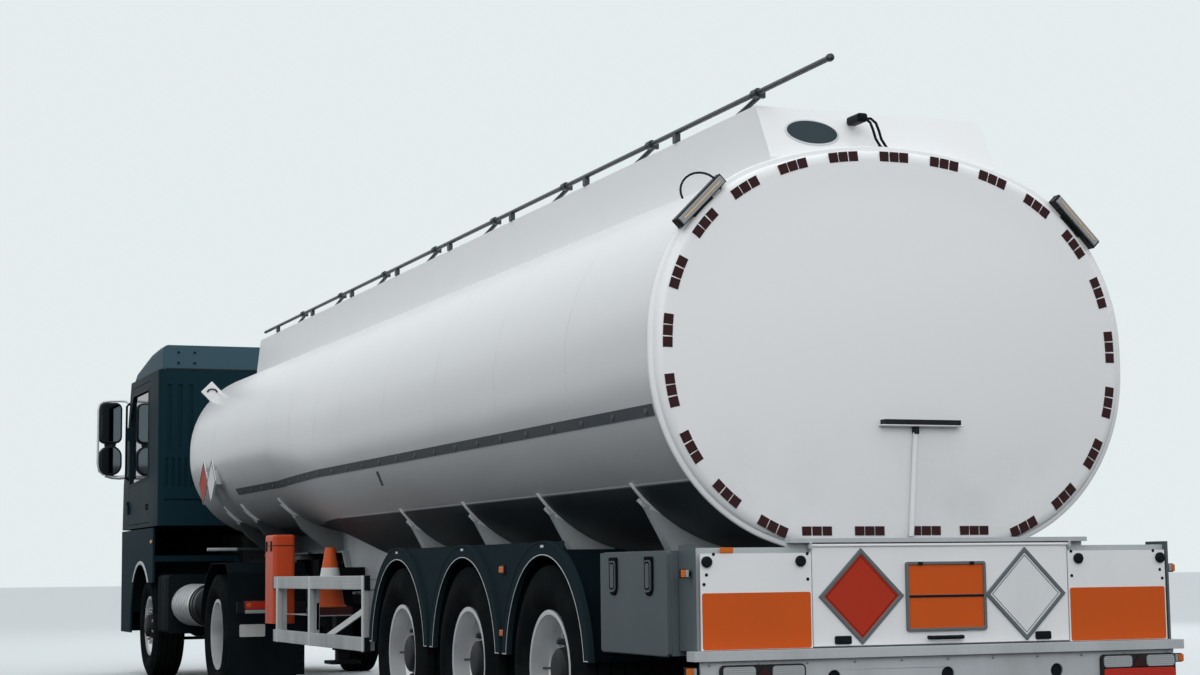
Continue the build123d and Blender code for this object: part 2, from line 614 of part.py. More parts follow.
# Rear lockers: open-sided boxes at both rear corners, each closed by a door hinged along its foot
LOCKER_X0 = REAR_X + 230
LOCKER_X1 = REAR_X + 1020
LOCKER_Z0 = 640
LOCKER_Z1 = 1092
LOCKER_IN_Y = 720
LOCKER_WALL = 18
LOCKER_DOOR_T = 20
LOCKER_FACE_Y = HALF_W - LOCKER_DOOR_T - SEAT_GAP
LOCKER_ROD_R = 7
with BuildPart() as side_lockers:
    for side in (1, -1):
        with BuildSketch(beside(side * LOCKER_FACE_Y)):
            Polygon((LOCKER_X0, LOCKER_Z0), (LOCKER_X1, LOCKER_Z0), (LOCKER_X1, LOCKER_Z1),
                    (LOCKER_X0, LOCKER_Z1), align=None)
        extrude(amount=side * (LOCKER_FACE_Y - LOCKER_IN_Y))
        with BuildSketch(beside(side * LOCKER_FACE_Y)):
            Polygon((LOCKER_X0 + LOCKER_WALL, LOCKER_Z0 + LOCKER_WALL),
                    (LOCKER_X1 - LOCKER_WALL, LOCKER_Z0 + LOCKER_WALL),
                    (LOCKER_X1 - LOCKER_WALL, LOCKER_Z1 - LOCKER_WALL),
                    (LOCKER_X0 + LOCKER_WALL, LOCKER_Z1 - LOCKER_WALL), align=None)
        extrude(amount=side * (LOCKER_FACE_Y - LOCKER_IN_Y - LOCKER_WALL), mode=Mode.SUBTRACT)
        with BuildSketch(beside(side * LOCKER_IN_Y)):
            with Locations(*[(x, T_RAIL_BOTTOM + 60) for x in (LOCKER_X0 + 120, LOCKER_X1 - 120)]):
                Rectangle(60, 80)
        extrude(amount=side * (LOCKER_IN_Y - T_RAIL_Y - T_RAIL_T / 2))
write(side_lockers, "side_lockers")

for side, hand in ((1, "left"), (-1, "right")):
    with BuildPart() as locker_door:
        with BuildSketch(beside(side * HALF_W)):
            with Locations(((LOCKER_X0 + LOCKER_X1) / 2, (LOCKER_Z0 + LOCKER_Z1) / 2)):
                RectangleRounded(LOCKER_X1 - LOCKER_X0 - 6, LOCKER_Z1 - LOCKER_Z0 - 6, 12)
        extrude(amount=side * LOCKER_DOOR_T)
        with BuildSketch(beside(side * HALF_W)):
            with Locations(*[(x, LOCKER_Z1 - 110) for x in (LOCKER_X0 + 200, LOCKER_X1 - 170)]):
                RectangleRounded(70, 140, 20)
        extrude(amount=-side * 12)
        # hinge rod along the foot
        with BuildSketch(across(LOCKER_X0 + 20)):
            with Locations((side * (HALF_W - LOCKER_ROD_R), LOCKER_Z0 + 3)):
                Circle(LOCKER_ROD_R)
        extrude(amount=LOCKER_X1 - LOCKER_X0 - 40)
    write(locker_door, f"locker_door_{hand}")

# Rear beam with its side cheeks, lamp panel and under-run bar
BEAM_Z0 = 623
BEAM_Z1 = 665
BEAM_HALF_W = 1228
BOARD_X = REAR_X + 50
WALL_X = REAR_X + 85
LEDGE_Z = 1118
LEDGE_END = REAR_X + 100 - SEAT_GAP
PLATE_W = 520
PLATE_H = 110
PLATE_T = 6
REAR_PLATE_Z = 450
FLAP_W = 1290
FLAP_HINGE = (BOARD_X - 2, 1106)
HINGE_R = 7
with BuildPart() as rear_bumper:
    with BuildSketch(across(REAR_X)):
        with Locations((0, (BEAM_Z0 + BEAM_Z1) / 2)):
            Rectangle(2 * BEAM_HALF_W, BEAM_Z1 - BEAM_Z0)
    extrude(amount=WALL_X - REAR_X)
    with BuildSketch(across(REAR_X + 30)):
        with Locations((0, (BEAM_Z0 + 395) / 2)):
            Rectangle(2 * HALF_W - 120, BEAM_Z0 - 395)
        with GridLocations(560, 1, 3, 1):
            with Locations((0, 540)):
                Circle(32, mode=Mode.SUBTRACT)
    extrude(amount=12)
    with BuildSketch(across(REAR_X + 42)):
        with Locations((0, 450)):
            Rectangle(2 * HALF_W - 160, 110)
    extrude(amount=90)
    for side in (1, -1):
        with BuildSketch(beside(side * T_RAIL_Y + 40)):
            Polygon((WALL_X + 40, 500), (WALL_X + 140, T_RAIL_BOTTOM), (WALL_X + 330, T_RAIL_BOTTOM),
                    (WALL_X + 130, 400), (WALL_X + 40, 400), align=None)
        extrude(amount=80)
        with BuildSketch(beside(side * (HALF_W - 48))):
            Polygon((REAR_X + 60, BEAM_Z1), (LOCKER_X0 - 15, BEAM_Z1), (LOCKER_X0 - 15, 1115),
                    (REAR_X + 60, 1115), align=None)
        extrude(amount=side * 12)
    with BuildSketch(Plane.XY.offset(LEDGE_Z)):
        with Locations((BOARD_X - 10, 0)):
            Rectangle(LEDGE_END - BOARD_X + 10, 1500, align=(Align.MIN, Align.CENTER))
    extrude(amount=20)
    with BuildSketch(across(WALL_X)):
        with Locations((0, LEDGE_Z)):
            Rectangle(1500, 36)
    extrude(amount=LEDGE_END - WALL_X)
    with BuildSketch(across(REAR_X + 30)):
        with Locations((0, REAR_PLATE_Z)):
            Rectangle(PLATE_W, PLATE_H)
    extrude(amount=-PLATE_T)
    for side in (1, -1):
        with BuildSketch(beside(side * (FLAP_W / 2 + 5))):
            with Locations(FLAP_HINGE):
                Rectangle(24, 28)
                Circle(HINGE_R + RUN, mode=Mode.SUBTRACT)
        extrude(amount=-side * 10)
write(rear_bumper, "rear_bumper")

# Sign boards on spacers at both rear corners, and the warning diamonds on the tank's front flank
DIAMOND_XS = (PIN_X - 150, PIN_X + 200)
DIAMOND_Y = 1182
DIAMOND_Z = 1825
DIAMOND_W = 270
DIAMOND_T = 6
with BuildPart() as sign_boards:
    for side in (1, -1):
        with BuildSketch(across(BOARD_X)):
            with Locations((side * 912, 871)):
                Rectangle(524, 408)
        extrude(amount=8)
        with BuildSketch(across(BOARD_X + 8)):
            with Locations((side * 912, 865)):
                with GridLocations(440, 340, 2, 2):
                    Circle(14)
        extrude(amount=WALL_X - BOARD_X - 8)
        # diamonds on brackets from the neck's flank
        with BuildSketch(beside(side * (DIAMOND_Y + DIAMOND_T))):
            with Locations(*[(x, DIAMOND_Z) for x in DIAMOND_XS]):
                Rectangle(DIAMOND_W, DIAMOND_W, rotation=45)
        extrude(amount=side * DIAMOND_T)
        with BuildSketch(beside(side * DIAMOND_Y)):
            with Locations(*[(x, DIAMOND_Z + 40) for x in DIAMOND_XS]):
                Rectangle(60, 120)
        extrude(amount=side * 80)
    add(tank.part, mode=Mode.SUBTRACT)
write(sign_boards, "sign_boards")

# Rear centre flap, hung from a rod along its top edge, with latches and a grab handle
FLAP_Z0 = 672
FLAP_Z1 = 1102
FLAP_T = 30
with BuildPart() as rear_flap:
    with BuildSketch(across(BOARD_X)):
        with Locations((0, (FLAP_Z0 + FLAP_Z1) / 2)):
            Rectangle(FLAP_W, FLAP_Z1 - FLAP_Z0)
    extrude(amount=FLAP_T)
    with BuildSketch(beside(FLAP_W / 2 + 14)):
        with Locations(FLAP_HINGE):
            Circle(HINGE_R)
    extrude(amount=FLAP_W + 28)
    with BuildSketch(across(BOARD_X)):
        with Locations((0, 700)):
            RectangleRounded(170, 34, 15)
            RectangleRounded(120, 14, 6, mode=Mode.SUBTRACT)
    extrude(amount=-34)
    with BuildSketch(across(BOARD_X)):
        with Locations((-505, 697), (505, 697)):
            RectangleRounded(80, 40, 8)
    extrude(amount=-10)
write(rear_flap, "rear_flap")

# Hazard diamonds and the number panel in their frames, on the flap
with BuildPart() as flap_signs:
    with BuildSketch(across(BOARD_X)):
        with Locations((410, 886), (-420, 886)):
            Rectangle(298, 298, rotation=45)
    extrude(amount=-8)
    with BuildSketch(across(BOARD_X)):
        with Locations((-10, 880)):
            Rectangle(404, 304)
    extrude(amount=-14)
write(flap_signs, "flap_signs")

# Lamps: tail lamps on the lamp panel, strip lamps at the tank's rear rim and the camera on the coaming
with BuildPart() as trailer_lamps:
    with BuildSketch(across(REAR_X + 30)):
        with Locations((905, 545), (-985, 545)):
            RectangleRounded(400, 120, 20)
    extrude(amount=-28)
    # strip lamps on brackets at the rear rim's upper corners, markers on the front ones
    for x, y, z, length, width, depth in ((TANK_REAR_X - BEAD_T - 55, 990, 2657, 310, 46, 60),
                                          (TANK_REAR_X - BEAD_T - 14, 972, 2640, 130, 90, 20),
                                          (TANK_FRONT_X - 90, 985, 2700, 140, 150, 26)):
        for side in (1, -1):
            with BuildSketch(across(x)):
                with Locations((side * y, z)):
                    Rectangle(length, width, rotation=-side * 45)
            extrude(amount=depth)
    # side markers at the two ends of the rear beam
    for x, y, z in ((REAR_X + 70, HALF_W - 48, 992), (REAR_X + 30, HALF_W - 60, 580)):
        for side in (1, -1):
            with BuildSketch(across(x)):
                with Locations((side * (y + (HALF_W - y) / 2), z)):
                    Rectangle(HALF_W - y, 36)
            extrude(amount=40)
    with BuildSketch(across(TANK_REAR_X - HEAD_REAR)):
        with Locations((-125, 1662)):
            Rectangle(430, 46)
        with Locations((-75, 1410)):
            Rectangle(22, 480)
    extrude(amount=-40)
    with BuildSketch(across(COAMING_X0 - COAMING_RAKE - 40)):
        with Locations((80, 3110)):
            RectangleRounded(110, 60, 15)
    extrude(amount=COAMING_RAKE)
    add(tank.part, mode=Mode.SUBTRACT)
    add(coaming.part, mode=Mode.SUBTRACT)
write(trailer_lamps, "trailer_lamps")

# Fire extinguisher box at the front of the left side guard
with BuildPart() as extinguisher_box:
    with BuildSketch(Plane.XY.offset(640)):
        with Locations((GUARD_X1 + 170, 1160)):
            RectangleRounded(300, 170, 30)
    extrude(amount=670)
    fillet(extinguisher_box.faces().sort_by(Axis.Z)[-1].edges(), 20)
    with BuildSketch(Plane.XY.offset(900)):
        with Locations((GUARD_X1 + 170, (T_RAIL_Y + T_RAIL_T / 2 + 1080) / 2)):
            Rectangle(60, 1080 - T_RAIL_Y - T_RAIL_T / 2)
    extrude(amount=60)
write(extinguisher_box, "extinguisher_box")

# Traffic cone, standing on the tray behind the left side guard
CONE_PLACE = (GUARD_X1 - 895, 1038)
with BuildPart() as traffic_cone:
    with BuildSketch(Plane.XY.offset(TRAY_Z + TRAY_T)):
        with Locations(CONE_PLACE):
            RectangleRounded(290, 290, 30)
    extrude(amount=30)
    with Locations((*CONE_PLACE, TRAY_Z + TRAY_T + 30)):
        Cone(105, 28, 450, align=(Align.CENTER, Align.CENTER, Align.MIN))
write(traffic_cone, "traffic_cone")

# Tractor frame: two channel rails with cross members, cab mounts and the fifth wheel's plate
with BuildPart() as tractor_frame:
    for side in (1, -1):
        with BuildSketch(across(FRAME_REAR_X)):
            with Locations((side * (RAIL_Y - RAIL_FLANGE / 2), (RAIL_Z0 + RAIL_Z1) / 2)):
                Rectangle(RAIL_FLANGE, RAIL_Z1 - RAIL_Z0)
            with Locations((side * (RAIL_Y - RAIL_T - RAIL_FLANGE / 2), (RAIL_Z0 + RAIL_Z1) / 2)):
                Rectangle(RAIL_FLANGE, RAIL_Z1 - RAIL_Z0 - 2 * RAIL_T, mode=Mode.SUBTRACT)
        extrude(amount=FRAME_FRONT_X - FRAME_REAR_X)
    for x in (FRAME_REAR_X, DRIVE_X + 650, CAB_REAR_X - 360, FRAME_FRONT_X - 90):
        with BuildSketch(across(x)):
            with Locations((0, (RAIL_Z0 + RAIL_Z1) / 2)):
                Rectangle(2 * (RAIL_Y - RAIL_T), 150)
        extrude(amount=80)
    with BuildSketch(Plane.XY.offset(RAIL_Z1)):
        with Locations((PIN_X, 0)):
            Rectangle(700, 2 * RAIL_Y + 60)
    extrude(amount=18)
    for x, top in ((CAB_REAR_X + 130, CAB_Z0), (FRAME_FRONT_X - 120, CAB_Z0)):
        with BuildSketch(Plane.XY.offset(RAIL_Z1)):
            with Locations((x, RAIL_Y - 30), (x, -RAIL_Y + 30)):
                Rectangle(90, 60)
        extrude(amount=top - RAIL_Z1)
    with BuildSketch(across(FRAME_REAR_X - 8)):
        with Locations((0, RAIL_Z0 + 55)):
            Rectangle(2 * HALF_W - 60, 90)
    extrude(amount=30)
    # cooler block that stands on the rails behind the grille
    with BuildSketch(across(FRAME_FRONT_X - 75)):
        with Locations((0, (RAIL_Z1 - 10 + COOLER_Z1) / 2)):
            Rectangle(2 * COOLER_HALF_W, COOLER_Z1 - RAIL_Z1 + 10)
    extrude(amount=65)
write(tractor_frame, "tractor_frame")

# Fifth wheel: slotted top plate with the jaw ring, on two side brackets
FIFTH_T = 40
with BuildPart() as fifth_wheel:
    with BuildSketch(Plane.XY.offset(FIFTH_TOP - FIFTH_T)):
        with Locations((PIN_X, 0)):
            RectangleRounded(880, 900, 120)
        Polygon((PIN_X - 80, 0), (PIN_X - 441, 190), (PIN_X - 441, -190), align=None, mode=Mode.SUBTRACT)
        with Locations((PIN_X, 0)):
            Circle(PIN_NECK_R + RUN, mode=Mode.SUBTRACT)
    extrude(amount=FIFTH_T)
    with BuildSketch(Plane.XY.offset(FIFTH_TOP - FIFTH_T - 22)):
        with Locations((PIN_X, 0)):
            Circle(110)
            Circle(PIN_GROOVE_R + RUN, mode=Mode.SUBTRACT)
    extrude(amount=22 + FIFTH_T - 34 - 1)
    with BuildSketch(Plane.XY.offset(RAIL_Z1 + 18)):
        with Locations((PIN_X, 400), (PIN_X, -400)):
            Rectangle(300, 50)
    extrude(amount=FIFTH_TOP - FIFTH_T - RAIL_Z1 - 18)
write(fifth_wheel, "fifth_wheel")

# Front axle: dropped beam with eyes for the steering pins, on leaf springs
EYE_R = 55
EYE_H = 110
KINGPIN_R = 26
with BuildPart() as front_axle:
    with BuildSketch(across(STEER_X - 45)):
        Polygon((-680, 395), (680, 395), (790, 458), (KINGPIN_Y, 458), (KINGPIN_Y, 558), (770, 558),
                (640, 490), (-640, 490), (-770, 558), (-KINGPIN_Y, 558), (-KINGPIN_Y, 458), (-790, 458),
                align=None)
    extrude(amount=90)
    for side in (1, -1):
        with BuildSketch(Plane.XY.offset(TRACTOR_R - EYE_H / 2)):
            with Locations((STEER_X, side * KINGPIN_Y)):
                Circle(EYE_R)
        extrude(amount=EYE_H)
        with BuildSketch(beside(side * RAIL_Y + 35)):
            Polygon((STEER_X - 760, 640), (STEER_X - 60, 490), (STEER_X + 60, 490), (STEER_X + 760, 640),
                    (STEER_X + 760, 665), (STEER_X + 60, 530), (STEER_X - 60, 530), (STEER_X - 760, 665),
                    align=None)
        extrude(amount=70)
        with BuildSketch(beside(side * RAIL_Y + 35)):
            with Locations((STEER_X - 740, 660), (STEER_X + 740, 660)):
                Rectangle(60, 60)
        extrude(amount=70)
    with BuildSketch(Plane.XY.offset(300)):
        with Locations((STEER_X, KINGPIN_Y), (STEER_X, -KINGPIN_Y)):
            Circle(KINGPIN_R + RUN)
    extrude(amount=400, mode=Mode.SUBTRACT)
write(front_axle, "front_axle")

# Steering knuckles: fork round the axle's eye, steering pin, spindle, brake drum and track arm
FORK_T = 38
ARM_L = 230
TRACK_PIN_R = 12
TRACK_ROD_Z = 372
fork_gap = EYE_H / 2 + 0.5
fork_low = TRACTOR_R - fork_gap - FORK_T
for side, hand in ((1, "left"), (-1, "right")):
    with BuildPart() as knuckle:
        for z in (fork_low, TRACTOR_R + fork_gap):
            with BuildSketch(Plane.XY.offset(z)):
                with Locations((STEER_X, side * KINGPIN_Y)):
                    Circle(EYE_R)
                with Locations((STEER_X, side * (KINGPIN_Y + 48))):
                    Rectangle(2 * EYE_R, 96)
            extrude(amount=FORK_T)
        with BuildSketch(Plane.XY.offset(fork_low)):
            with Locations((STEER_X, side * (KINGPIN_Y + 79))):
                Rectangle(2 * EYE_R, 34)
        extrude(amount=2 * (fork_gap + FORK_T))
        with BuildSketch(Plane.XY.offset(fork_low)):
            with Locations((STEER_X, side * KINGPIN_Y)):
                Circle(KINGPIN_R)
        extrude(amount=2 * (fork_gap + FORK_T))
        with BuildSketch(Plane.XY.offset(fork_low)):
            with Locations((STEER_X - ARM_L / 2 - 20, side * KINGPIN_Y)):
                Rectangle(ARM_L - 40, 40)
            with Locations((STEER_X - ARM_L, side * KINGPIN_Y)):
                Circle(24)
        extrude(amount=26)
        with BuildSketch(Plane.XY.offset(TRACK_ROD_Z - 4)):
            with Locations((STEER_X - ARM_L, side * KINGPIN_Y)):
                Circle(TRACK_PIN_R)
        extrude(amount=fork_low - TRACK_ROD_Z + 4)
        with BuildSketch(Plane(origin=(STEER_X, side * (KINGPIN_Y + 90), TRACTOR_R), x_dir=(1, 0, 0),
                               z_dir=(0, side, 0))):
            Circle(SPINDLE_R)
        extrude(amount=STEER_TRACK / 2 + 135 - KINGPIN_Y - 90)
        with BuildSketch(Plane(origin=(STEER_X, side * (KINGPIN_Y + 90), TRACTOR_R), x_dir=(1, 0, 0),
                               z_dir=(0, side, 0))):
            Circle(200)
        extrude(amount=42)
    write(knuckle, f"knuckle_{hand}")

# Track rod between the arms of the two knuckles
with BuildPart() as track_rod:
    with BuildSketch(Plane(origin=(STEER_X - ARM_L, -KINGPIN_Y, TRACK_ROD_Z + 12), x_dir=(1, 0, 0),
                           z_dir=(0, 1, 0))):
        Circle(16)
    extrude(amount=2 * KINGPIN_Y)
    with BuildSketch(Plane.XY.offset(TRACK_ROD_Z)):
        with Locations((STEER_X - ARM_L, KINGPIN_Y), (STEER_X - ARM_L, -KINGPIN_Y)):
            Circle(30)
    extrude(amount=26)
    with BuildSketch(Plane.XY.offset(TRACK_ROD_Z - 40)):
        with Locations((STEER_X - ARM_L, KINGPIN_Y)):
            Circle(TRACK_PIN_R + RUN)
        with Locations((STEER_X - ARM_L, -KINGPIN_Y)):
            Circle(TRACK_PIN_R + 1)
    extrude(amount=100, mode=Mode.SUBTRACT)
write(track_rod, "track_rod")

# Drive axle: tube with a round final-drive housing, air springs, drums and spindles
with BuildPart() as drive_axle:
    with BuildSketch(Plane(origin=(DRIVE_X, -660, TRACTOR_R), x_dir=(1, 0, 0), z_dir=(0, 1, 0))):
        Circle(80)
    extrude(amount=1320)
    with BuildSketch(Plane(origin=(DRIVE_X, -1122, TRACTOR_R), x_dir=(1, 0, 0), z_dir=(0, 1, 0))):
        Circle(SPINDLE_R)
    extrude(amount=2244)
    with Locations((DRIVE_X, 0, TRACTOR_R)):
        Sphere(195)
    with BuildSketch(across(DRIVE_X)):
        with Locations((0, TRACTOR_R)):
            Circle(90)
    extrude(amount=260, taper=8)
    for side in (1, -1):
        with BuildSketch(Plane(origin=(DRIVE_X, side * 655, TRACTOR_R), x_dir=(1, 0, 0), z_dir=(0, side, 0))):
            Circle(205)
        extrude(amount=225)
        with BuildSketch(beside(side * RAIL_Y + 45)):
            with Locations((DRIVE_X, TRACTOR_R + 30)):
                Rectangle(1150, 60)
        extrude(amount=90)
        with BuildSketch(Plane.XY.offset(TRACTOR_R + 60)):
            with Locations((DRIVE_X - 470, side * RAIL_Y), (DRIVE_X + 470, side * RAIL_Y)):
                Circle(110)
        extrude(amount=RAIL_Z0 - TRACTOR_R - 60)
write(drive_axle, "drive_axle")

# Engine: one plain block between the rails, with the gearbox behind it
with BuildPart() as engine:
    with BuildSketch(beside(290)):
        Polygon((STEER_X - 520, 640), (STEER_X + 640, 640), (STEER_X + 640, 1420), (STEER_X - 300, 1420),
                (STEER_X - 520, 1150), align=None)
    extrude(amount=580)
    with BuildSketch(across(STEER_X - 1250)):
        with Locations((0, 830)):
            RectangleRounded(420, 400, 90)
    extrude(amount=731)
    for x in (STEER_X - 450, STEER_X + 560):
        with BuildSketch(across(x)):
            with Locations((0, 900)):
                Rectangle(2 * (RAIL_Y - RAIL_T), 60)
        extrude(amount=70)
write(engine, "engine")

# Cab shell: floor, back wall, roof, pillars and front, cut open for the doors and the windscreen
rake = Vector(HEADER_X - SCREEN_FOOT_X, 0, CAB_Z1 - SCREEN_FOOT_Z)
screen_mid = ((HEADER_X + SCREEN_FOOT_X) / 2, 0, (CAB_Z1 + SCREEN_FOOT_Z) / 2)
screen_plane = Plane(origin=screen_mid, x_dir=(0, 1, 0), z_dir=(rake.Z, 0, -rake.X))
CAB_SIDE = [(CAB_REAR_X, CAB_Z0), (CHIN_X, CAB_Z0), (SCREEN_FOOT_X, SCREEN_FOOT_Z), (HEADER_X, CAB_Z1),
            (CAB_REAR_X, CAB_Z1)]
SCREEN_W = 2 * CAB_HALF_W - 380
SCREEN_H = 850
WINDOW = [(DOOR_X0 + 90, 2010), (DOOR_X1 - 60, 1960), (DOOR_X1 - 60, 2640), (DOOR_X1 - 250, 2880),
          (DOOR_X0 + 90, 2880)]
DOOR = [(DOOR_X0, DOOR_Z0), (DOOR_X1, DOOR_Z0), (DOOR_X1, DOOR_Z1 - 230), (DOOR_X1 - 180, DOOR_Z1),
        (DOOR_X0, DOOR_Z1)]
DOOR_PIN_R = 8
LEAF_R = 12
DOOR_PIN_X = DOOR_X1 + DOOR_GAP / 2
DOOR_PIN_Y = CAB_HALF_W + LEAF_R + 1
HINGE_H = 90
HINGE_ZS = (1700, 2480)
VISOR_HALF_W = 1130
SLOT_DEPTH = 14
SLOT_R = 9
# outermost slot's y, foot, top, width, how many inwards, pitch
REAR_SLOTS = [(1143, 2270, 2888, 40, 3, 105), (1165, 1880, 2165, 28, 5, 62), (600, 1740, 1762, 1160, 1, 0)]
with BuildPart() as cab_shell:
    with BuildSketch(beside(CAB_HALF_W)):
        Polygon(*CAB_SIDE, align=None)
    extrude(amount=2 * CAB_HALF_W)
    fillet(cab_shell.faces().sort_by(Axis.X)[-2:].edges().filter_by(
        lambda e: abs(abs(e.center().Y) - CAB_HALF_W) < 1), CORNER_R)
    fillet(cab_shell.faces().sort_by(Axis.X)[0].edges().filter_by(Axis.Z), REAR_CORNER_R)
    with BuildPart(mode=Mode.SUBTRACT) as cab_room:
        with BuildSketch(beside(CAB_HALF_W - CAB_WALL)):
            Polygon(*CAB_SIDE, align=None)
            offset(amount=-CAB_WALL, kind=Kind.INTERSECTION, mode=Mode.REPLACE)
        extrude(amount=2 * (CAB_HALF_W - CAB_WALL))
        fillet(cab_room.faces().sort_by(Axis.X)[-2:].edges().filter_by(
            lambda e: abs(abs(e.center().Y) - CAB_HALF_W + CAB_WALL) < 1), CORNER_R - CAB_WALL)
    for side in (1, -1):
        with BuildSketch(beside(side * CAB_HALF_W)):
            with BuildLine():
                Polyline(*DOOR, close=True)
            make_face()
            offset(amount=DOOR_GAP, kind=Kind.INTERSECTION, mode=Mode.REPLACE)
        extrude(amount=side * (CAB_WALL + 1), mode=Mode.SUBTRACT)
        # pillar leaves of the door hinges, each with its pin
        for z in HINGE_ZS:
            with BuildSketch(Plane.XY.offset(z + HINGE_H / 2 + SEAT_GAP)):
                with Locations((DOOR_PIN_X + 25, side * (CAB_HALF_W + 12))):
                    Rectangle(50, 24)
                with Locations((DOOR_PIN_X, side * DOOR_PIN_Y)):
                    Circle(LEAF_R)
            extrude(amount=HINGE_H / 2)
            with BuildSketch(Plane.XY.offset(z - HINGE_H / 2)):
                with Locations((DOOR_PIN_X, side * DOOR_PIN_Y)):
                    Circle(DOOR_PIN_R)
            extrude(amount=1.2 * HINGE_H)
    with BuildSketch(screen_plane):
        RectangleRounded(SCREEN_W, SCREEN_H, 70)
    extrude(amount=200, both=True, mode=Mode.SUBTRACT)
    # pressed slots of the rear wall
    with BuildSketch(across(CAB_REAR_X)):
        for y, z0, z1, width, count, pitch in REAR_SLOTS:
            for i in range(count):
                for side in (1, -1):
                    with Locations((side * (y - i * pitch), (z0 + z1) / 2)):
                        RectangleRounded(width, z1 - z0, SLOT_R)
    extrude(amount=SLOT_DEPTH, mode=Mode.SUBTRACT)
    # sun visor ahead of the roof's front edge
    with BuildSketch(beside(VISOR_HALF_W)):
        Polygon((HEADER_X - 110, CAB_Z1 + 12), (HEADER_X + 170, CAB_Z1 - 58),
                (HEADER_X + 167, CAB_Z1 - 70), (HEADER_X - 113, CAB_Z1), align=None)
    extrude(amount=2 * VISOR_HALF_W)
    # roof cap that lifts the wind over the tank, high at the back and level across
    with BuildPart(mode=Mode.PRIVATE) as roof_cap:
        with BuildSketch(beside(CAB_HALF_W - 30)):
            Polygon((CAB_REAR_X, CAB_Z1 - 5), (HEADER_X - 60, CAB_Z1 - 5), (HEADER_X - 320, CAB_Z1 + 110),
                    (CAB_REAR_X + 700, CAB_ROOF_TOP - 20), (CAB_REAR_X + 250, CAB_ROOF_TOP),
                    (CAB_REAR_X, CAB_ROOF_TOP), align=None)
        extrude(amount=2 * (CAB_HALF_W - 30))
        fillet(roof_cap.edges().filter_by(lambda e: e.center().Z > CAB_Z1 + 5
                                          and abs(abs(e.center().Y) - CAB_HALF_W + 30) < 1
                                          and abs(e.center().X - CAB_REAR_X) > 5), 60)
    add(roof_cap.part)
write(cab_shell, "cab_shell")

# Windscreen in its opening
with BuildPart() as windscreen:
    with BuildSketch(screen_plane.offset(-18)):
        RectangleRounded(SCREEN_W, SCREEN_H, 70)
    extrude(amount=-GLASS_T)
write(windscreen, "windscreen")

# Cab doors, as thick as the wall, with a pane in each window
for side, hand in ((1, "left"), (-1, "right")):
    with BuildPart() as door:
        with BuildSketch(beside(side * CAB_HALF_W)):
            Polygon(*DOOR, align=None)
            Polygon(*WINDOW, align=None, mode=Mode.SUBTRACT)
        extrude(amount=side * CAB_WALL)
        with BuildSketch(beside(side * CAB_HALF_W)):
            with Locations((DOOR_X0 + 130, 1700)):
                RectangleRounded(180, 60, 20)
        extrude(amount=side * 22, mode=Mode.SUBTRACT)
        # door leaves of the hinges, bored for their pins
        for z in HINGE_ZS:
            with BuildSketch(Plane.XY.offset(z - HINGE_H / 2)):
                with Locations((DOOR_PIN_X - 35, side * (CAB_HALF_W + 12))):
                    Rectangle(60, 24)
                with Locations((DOOR_PIN_X, side * DOOR_PIN_Y)):
                    Circle(LEAF_R)
                    Circle(DOOR_PIN_R + RUN, mode=Mode.SUBTRACT)
            extrude(amount=HINGE_H)
    write(door, f"door_{hand}")
    with BuildPart() as pane:
        with BuildSketch(beside(side * (CAB_HALF_W - 20))):
            Polygon(*WINDOW, align=None)
        extrude(amount=side * GLASS_T)
    write(pane, f"door_glass_{hand}")

